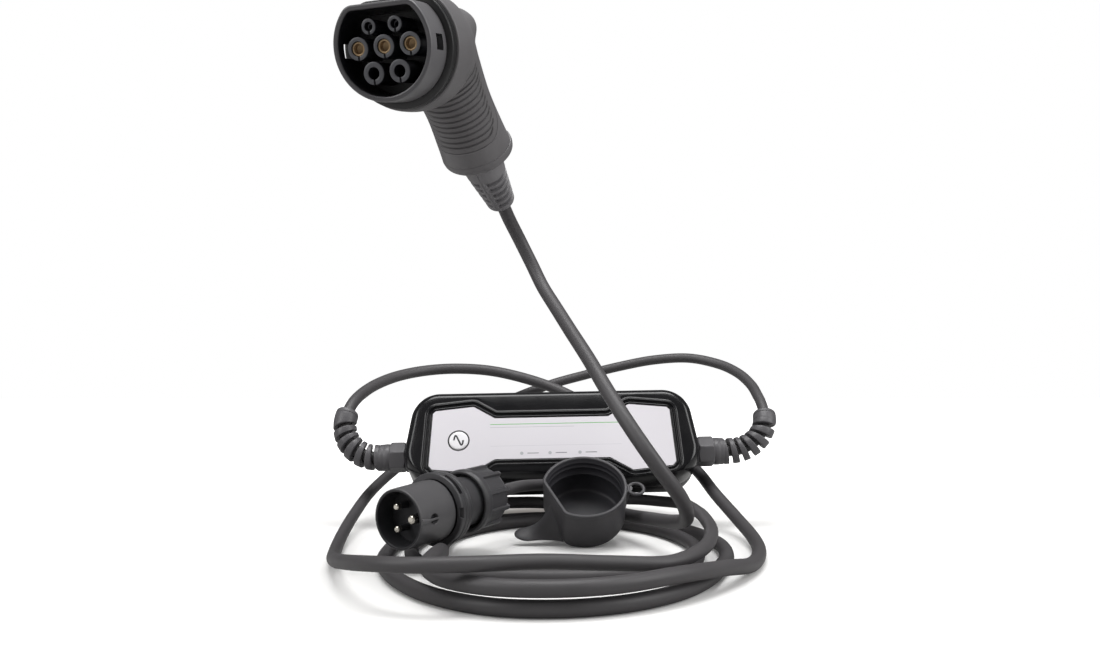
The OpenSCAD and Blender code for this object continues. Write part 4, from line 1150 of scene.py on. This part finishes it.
def makePlug():
    # shroud with a round hollow sunk into its side, a key rib over it whose width and height fall towards
    # the back, and three domed pins
    wide, long = plug["radius"], plug["shroud"]
    front = softCorners([(19.5, 46), (19.7, 0), (wide, 0), (22.6, 30)], [0, 0.6, 0.8, 0], 5)[:-1]
    side = np.linspace(1.0, 35.6, 70)[:, None]
    back = softCorners([(22.8, 35), (22.8, long), (21.4, 36.9), (21.4, 46)], [0, 1.0, 0.3, 0], 5)[1:]
    line = np.vstack([front, np.hstack([wide + plug["taper"] * side / long, side]), back])
    q = np.radians(np.concatenate([np.linspace(-13, 13, 53), np.linspace(15.5, 344.5, 110)]))
    r, y = line[:, :1], line[:, 1:]
    hollowAt, hollowRadius, hollowDeep = plug["hollow"]
    away = np.hypot(y - hollowAt, r * np.sin(q))
    sunk = hollowDeep * (1 - smooth(hollowRadius - 0.7, hollowRadius, away))
    shell = shaped(r - sunk * (r > wide - 0.1) * (np.cos(q) > 0), y, q)
    t = np.linspace(0, 1, 30)[:, None]
    a = circle(22)[None]
    half, high = 2.3 - 1.5 * smooth(0, 0.55, t), 1.9 * (1 - 0.8 * smooth(0.35, 1, t))
    lift = np.where(np.sin(a) > 0, high * np.abs(np.sin(a)) ** 0.6, 1.2 * np.sin(a))
    rib = np.stack([21.7 + 0.45 * t + lift, 0.2 + 19.6 * t + 0 * a, half * np.cos(a)], -1)
    rim = len(front) - 6
    # outside and key rib wear a lighter copy of the plug's plastic, a painted highlight; the inner walls take
    # finish 1, a painted shade
    makePiece("plugShroudPaintedHighlight", "plug", [part(shell[:rim + 1], 1), part(shell[rim:-3]), part(shell[-4:], 1),
                                     part(shell[[-1, 0]], 1), capped(rib)],
              ["plugShroudPaintedHighlight", "plugInnerInPaintedShade"], ["plug_shroud"])
    # the pins' sleeved shanks, deep in the shroud, wear the plug's painted shade
    for name, node, radius, ways in (("linePins", "line_pins", 2.5, (120, 240)),
                                     ("earthPin", "earth_pin", 3.5, (0,))):
        x, z = (plug["pinCircle"] * f(np.radians(ways)) for f in (np.cos, np.sin))
        makePiece(name, "plug", [part(moved(g, x[w], 0, z[w]), i)
                                 for w in range(len(ways)) for i, g in enumerate(roundPin(radius))],
                  ["nickel", "plugInnerInPaintedShade"], [node])


def makePlugRing():
    # bayonet ring: a band with three long slots and a notch by the key
    wide, notchHalf = plug["slotHalf"], plug["notchHalf"]
    edges = [s + d for s in plug["slots"] for d in (-wide - 0.6, -wide, wide, wide + 0.6)]
    edges += [-notchHalf - 0.6, -notchHalf, notchHalf, notchHalf + 0.6]
    q = np.unique(np.concatenate([np.linspace(0, 360, 120, endpoint=False), np.array(edges) % 360]))
    inSlot = np.abs(turnBetween(q[:, None], np.array(plug["slots"]))).min(1) < wide + 0.3
    notch = np.abs(turnBetween(q, 0)) < notchHalf + 0.3
    line = np.array([(23.1, 38), (26.2, 38), (27.0, 38.2), (27.5, 38.8), (27.6, 39.6), (27.55, 40.0),
                     (27.3, 40.1), (27.3, 43.1), (27.55, 43.2), (27.6, 43.8), (27.6, 45.4), (27.3, 46.2),
                     (26.8, 46.6), (23.1, 46.6)])
    inBand = (line[:, :1] == 27.3) & (line[:, 1:] < 44)  # the two rows between the band's shoulders
    radius = line[:, :1] - 4.0 * (inBand & inSlot)
    front = (line[:, 1:] < 40.05) & (line[:, :1] > 24) & notch
    radius = np.where(front, np.minimum(radius, 24.6), radius)
    band = revolved([(23.2, 40.15), (24.1, 40.15), (24.1, 43.05), (23.2, 43.05)], 96)
    # the band seen through the slots wears the plug's painted shade
    makePiece("plugRing", "plug", [looped(shaped(radius, line[:, 1:], np.radians(q))), looped(band, 1)],
              ["plugShell", "plugInnerInPaintedShade"], ["plug_ring"], sharp=35)
    body = softCorners([(0, 46.1), (23, 46.1), (26.4, 46.8), (27, 48), (26.4, 51.6), (24.2, 54), (20.6, 55.4),
                        (19.5, 60), (19.3, 72), (19.3, 92), (0, 92)],
                       [0, 0, 0.4, 0.8, 2, 2, 2, 4, 2, 0, 0], 5)
    makePiece("plugBody", "plug", [part(revolved(body, 112))], ["plugShell"], ["plug_body"])


def makePlugNut():
    # ribbed gland nut: an open rolled lip, then a barrel with raised ribs whose ends stand proud
    end = plug["end"]
    outer = softCorners([(19.6, 77.5), (21.6, 76.5), (21.6, 72.2), (23.4, 71.6), (24.8, 74.2), (24.6, 79),
                         (23.1, 80.8), (22.3, 100.5), (20.4, 104), (14, end), (5.2, end)],
                        [0, 0.5, 0.8, 0.8, 1, 1, 1, 2, 1.5, 2, 0], 4)
    marks = (np.arange(plug["ribs"]) + 0.5) * 360 / plug["ribs"]
    edges = [marks + d for d in (-4.6, -4.1, -3.2, 0, 3.2, 4.1, 4.6)]
    q = np.unique(np.round(np.concatenate([np.linspace(0, 360, 100, endpoint=False)] + edges) % 360, 4))
    off = np.abs(turnBetween(q[:, None], marks[None])).min(1)
    rib = np.clip((4.6 - off) / 1.4, 0, 1)[None]
    r, y = outer[:, :1], outer[:, 1:]
    raised = r + rib * smooth(78, 80, y) * (r > 17) * np.clip(24.6 - r, 0, 3.2)
    bore = np.array([(5.0, 92), (19.5, 92)])
    radius, y = np.concatenate([raised, bore[:, :1] + 0 * rib]), np.concatenate([y, bore[:, 1:]])
    nut = shaped(radius, y, np.radians(q))
    makePiece("plugGlandNut", "plug", [looped(nut)], ["plugShell"], ["plug_gland_nut"], sharp=35)


makePlug()
makePlugRing()
makePlugNut()
print("mains plug done")

# rubber cap
cap = {"radius": 34.4, "flat": 28, "corner": 9, "turn": 116, "wall": 2.4, "deep": 40, "ribs": (5, 10, 18),
       "loop": (41.6, -2, -1.9), "loopRadius": 6.2, "cord": 1.3, "neckAt": -3, "neck": (4.2, 4.6),
       "neckTo": (-1.2, -26)}
tongue = {"from": 26.6, "long": 33, "level": -38, "half": 7.8, "flare": 6.4, "thick": 1.5, "ridge": 24,
          "aside": (2, 9), "lean": 0.45,
          "shares": (0.7, 0.3)}  # of its length: plain, and rounded off to the tip


def capRows(rows):
    # outline turned about the cap's own axis; rows of (offset, height) and, where it shrinks, a scale
    pts, nor = flatTop(cap["radius"], cap["flat"], cap["corner"])
    a = np.radians(cap["turn"])
    m = np.array([[np.cos(a), -np.sin(a)], [np.sin(a), np.cos(a)]])
    out = []
    for offset, z, *scale in rows:
        p = ((pts + nor * offset) @ m.T) * (scale[0] if scale else 1)
        out.append(np.column_stack([p, np.full(len(p), float(z))]))
    return np.array(out)


def pointing(degrees):
    # unit vector of the x, y plane, and the one a quarter turn on
    a = np.radians(degrees)
    return (np.cos(a), np.sin(a)), (-np.sin(a), np.cos(a))


def capTongue():
    # one loft from inside the flat wall to the round tip: its ridge falls with (1 - u) ^ 3 and rises across
    # with sin ^ 2.4, so that it runs out into the flat paddle, and its end closes like a circle
    q = circle(48)[None]
    plain, rounded = tongue["shares"]
    tip = plain + rounded * np.sin(np.linspace(0, np.pi / 2, 12))[1:]
    u = np.concatenate([np.linspace(0, plain, 24), tip])[:, None]
    end = np.sqrt(np.clip(1 - (np.clip(u - plain, 0, 1) / rounded) ** 2, 0.0009, 1))
    half = (tongue["half"] + tongue["flare"] * (1 - u) ** 3) * end
    thick = tongue["thick"] * end ** 0.5
    ridge = tongue["ridge"] * (1 - u) ** 3
    rise = np.clip(np.sin(q), 0, 1)
    aside, drift = tongue["aside"]
    across = aside - drift * u + half * np.cos(q) - tongue["lean"] * half * (1 - u) * rise ** 2
    way, out = pointing(cap["turn"])
    away = tongue["from"] + tongue["long"] * u + 0 * q
    z = tongue["level"] + thick * np.sin(q) + ridge * rise ** 2.4
    return capped(np.stack([out[0] * away - way[0] * across, out[1] * away - way[1] * across, z], -1))


def loopNeck():
    # rounded fin on the cap's wall below the loop: its width falls with (1 - t) ^ 1.4 and its depth with
    # (1 - t) ^ 1.8
    t = np.linspace(0, 1, 30)[:, None]
    q = circle(28)[None]
    out, way = pointing(cap["neckAt"])
    half, proud = cap["neck"]
    wide, deep = (half - 1) * (1 - t) ** 1.4 + 1, (proud - 0.4) * (1 - t) ** 1.8 + 0.4
    away = cap["radius"] - 0.3 + np.where(np.sin(q) < 0, 1.2, deep) * np.sin(q)
    x, y = (out[k] * away + way[k] * wide * np.cos(q) for k in (0, 1))
    high, low = cap["neckTo"]
    return capped(np.stack([x, y, high + (low - high) * t + 0 * q], -1))


def makeCap():
    # base, outer wall and rolled rim, then the ribbed inner wall, the loop, its neck and the tongue
    t, deep = cap["wall"], cap["deep"]
    rows = [(-5, -deep, 0), (-5, -deep, 0.6), (-6, -deep), (-4.2, -39.7), (-2.9, -38.85), (-1.9, -37.6),
            (-1.1, -36), (-0.5, -34.2), (-0.1, -31.6), (0, -22), (0, -12), (0, -4.2), (0.05, -3.4),
            (0.25, -2.6), (0.3, -1.2), (0.1, -0.45), (-0.35, -0.08), (-1.0, 0), (-1.7, -0.06),
            (-2.2, -0.4), (-t, -1.2)]
    outside = len(rows)
    for rib in cap["ribs"]:
        bead = ((0, 1.0), (0.45, 0.55), (0.6, 0), (0.45, -0.55), (0, -1.0))
        rows += [(-t - out, up - rib) for out, up in bead]
    rows += [(-t, -30), (-t, -34.5), (-t - 0.7, -36.2), (-t - 2.2, -36.9), (-t - 4, -37), (-t - 4, -37, 0.5),
             (-t - 4, -37, 0)]
    grid = capRows(rows)
    x, y, z = cap["loop"]
    a, b = circle(48)[:, None], circle(14)[None]
    c = cap["cord"]
    r = cap["loopRadius"] + c * np.cos(b)
    loop = np.stack([x + r * np.cos(a), y + r * np.sin(a), z + c * np.sin(b) + 0 * a], -1)
    # the inside wears finish 1, a darker copy of the cap's rubber, a painted shade
    makePiece("rubberCap", "cap", [part(grid[:outside]), part(grid[outside - 1:], 1), looped(loop),
                                   capTongue(), loopNeck()],
              ["capRubber", "capInnerPaintedShade"], ["connector_cap"], sharp=60)


makeCap()
print("cap done")

# finishes of the nodes that stay
# the pin carrier, deep in the plug, wears the plug's painted shade
kept = {"labelPrint": ["label_plate"], "lens": ["indicator_lenses"], "plugInnerInPaintedShade": ["pin_carrier"],
        "gland": ["gland_body_left", "gland_body_right", "gland_locknuts"], "darkSteel": ["cover_screws"],
        "sealGrey": ["gland_seal_left", "gland_seal_right", "plug_gland_seal", "cover_seal"],
        "innerBlack": ["button_switch", "power_relays", "current_sensor"], "screwSteel": ["board_screws"],
        "boardGreen": ["circuit_board"], "innerYellow": ["supply_parts"]}


def finishNodes():
    for look, nodes in kept.items():
        for node in nodes:
            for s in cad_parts[node].material_slots:
                s.material = finishFor(look)


finishNodes()

# floor, backdrop and lamps
room = {"floor": (0.90, 0.895, 0.885), "floorRough": 0.9, "floorShine": 0.1, "bounce": 0.45,
        "floorSize": 6.0, "glow": (0.06, 0.9),
        # the floor's painted shadow: centre, size, where it starts to fade, and colour of a darker oval
        # behind the box
        "reach": (0.30, 0.75), "centre": (0, 0.05, 0), "paintedShadowAt": (0.0, 0.2), "paintedShadowSize": (0.13, 0.075),
        "paintedShadowFrom": 0.35, "paintedShadowColour": (0.28, 0.262, 0.248), "world": 0.44, "reflected": 0.13,
        "light": (1, 0.995, 0.985, 1),
        # lamps: place, size and power, all facing one point
        "aim": (0, 0, 0.15),
        "lamps": [((0.0, -0.15, 1.8), (1.4, 0.9), 27.0), ((-1.3, -0.8, 1.0), (0.7, 1.0), 10.0),
                  ((1.4, -0.5, 0.9), (0.7, 1.2), 12.0)]}


def fadeOf(tree, value, near, far, low, high):
    # smooth step of a socket's value: low up to near, high from far on
    node = put(tree, "ShaderNodeMapRange", interpolation_type="SMOOTHSTEP")
    for key, v in (("From Min", near), ("From Max", far), ("To Min", low), ("To Max", high)):
        node.inputs[key].default_value = v
    tree.links.new(value, node.inputs["Value"])
    return node.outputs["Result"]


def makeFloor():
    # pale floor with a painted shadow: a soft darker oval behind the box, where its glow is held back; the
    # glow grows with the distance from the object, so that it ends in plain white
    mesh = bpy.data.meshes.new("floor")
    s = room["floorSize"] / 2
    mesh.from_pydata([(-s, -s, 0), (s, -s, 0), (s, s, 0), (-s, s, 0)], [], [(0, 1, 2, 3)])
    mat, tree, shader = newFinish("paleFloor")
    shader.inputs["Roughness"].default_value = room["floorRough"]
    shader.inputs["Specular IOR Level"].default_value = room["floorShine"]
    seen = put(tree, "ShaderNodeLightPath").outputs["Is Camera Ray"]
    where = put(tree, "ShaderNodeTexCoord").outputs["Object"]
    (cx, cy), (rx, ry) = room["paintedShadowAt"], room["paintedShadowSize"]
    paintedShadowOval = put(tree, "ShaderNodeMapping", Location=(-cx / rx, -cy / ry, 0), Scale=(1 / rx, 1 / ry, 0))
    tree.links.new(where, paintedShadowOval.inputs["Vector"])
    size = put(tree, "ShaderNodeVectorMath", operation="LENGTH")
    tree.links.new(paintedShadowOval.outputs["Vector"], size.inputs[0])
    # how deep the painted shadow is at each point of the floor
    deep = fadeOf(tree, size.outputs["Value"], room["paintedShadowFrom"], 1.0, 1.0, 0.0)
    floorWithPaintedShadow = mixColours(tree, deep, (*room["floor"], 1), (*room["paintedShadowColour"], 1))
    dim = tuple(v * room["bounce"] for v in room["floor"])
    tree.links.new(mixColours(tree, seen, (*dim, 1), floorWithPaintedShadow), shader.inputs["Base Color"])
    away = put(tree, "ShaderNodeVectorMath", operation="DISTANCE")
    away.inputs[1].default_value = room["centre"]
    tree.links.new(where, away.inputs[0])
    glow = fadeOf(tree, away.outputs["Value"], *room["reach"], *room["glow"])
    shader.inputs["Emission Color"].default_value = (1, 1, 1, 1)
    # the glow is held back inside the painted shadow
    glowOutsidePaintedShadow = maths(tree, "MULTIPLY", seen, maths(tree, "SUBTRACT", 1.0, deep))
    tree.links.new(maths(tree, "MULTIPLY", glowOutsidePaintedShadow, glow), shader.inputs["Emission Strength"])
    mesh.materials.append(mat)
    addObject("floor", mesh)


def makeWorld():
    # the camera sees plain white, the object a soft grey light, and its reflections a darker one
    world = bpy.data.worlds.new("studio")
    bpy.context.scene.world = world
    world.use_nodes = True
    tree = world.node_tree
    white = put(tree, "ShaderNodeBackground", Color=(1, 1, 1, 1), Strength=1.0)
    light = tree.nodes["Background"]
    light.inputs["Color"].default_value = room["light"]
    path = put(tree, "ShaderNodeLightPath")
    glossy = maths(tree, "MULTIPLY", path.outputs["Is Glossy Ray"], 1 - room["reflected"] / room["world"])
    level = maths(tree, "MULTIPLY", maths(tree, "SUBTRACT", 1.0, glossy), room["world"])
    tree.links.new(level, light.inputs["Strength"])
    mix = put(tree, "ShaderNodeMixShader")
    for i, socket in enumerate((path.outputs["Is Camera Ray"], light.outputs[0], white.outputs[0])):
        tree.links.new(socket, mix.inputs[i])
    tree.links.new(mix.outputs[0], tree.nodes["World Output"].inputs["Surface"])


def makeLamps():
    # area lamps that face one point over the object
    for i, (at, size, power) in enumerate(room["lamps"]):
        data = bpy.data.lights.new(f"softbox{i}", "AREA")
        data.shape, data.size, data.size_y, data.energy = "RECTANGLE", size[0], size[1], power
        lamp = addObject(f"softbox{i}", data)
        lamp.location = at
        x, y, z = np.array(room["aim"]) - np.array(at)
        lamp.rotation_euler = (np.pi / 2 + np.arctan2(z, np.hypot(x, y)), 0, np.arctan2(y, x) - np.pi / 2)


makeFloor()
makeWorld()
makeLamps()
bpy.context.scene.view_settings.view_transform = "Standard"
print("studio set")
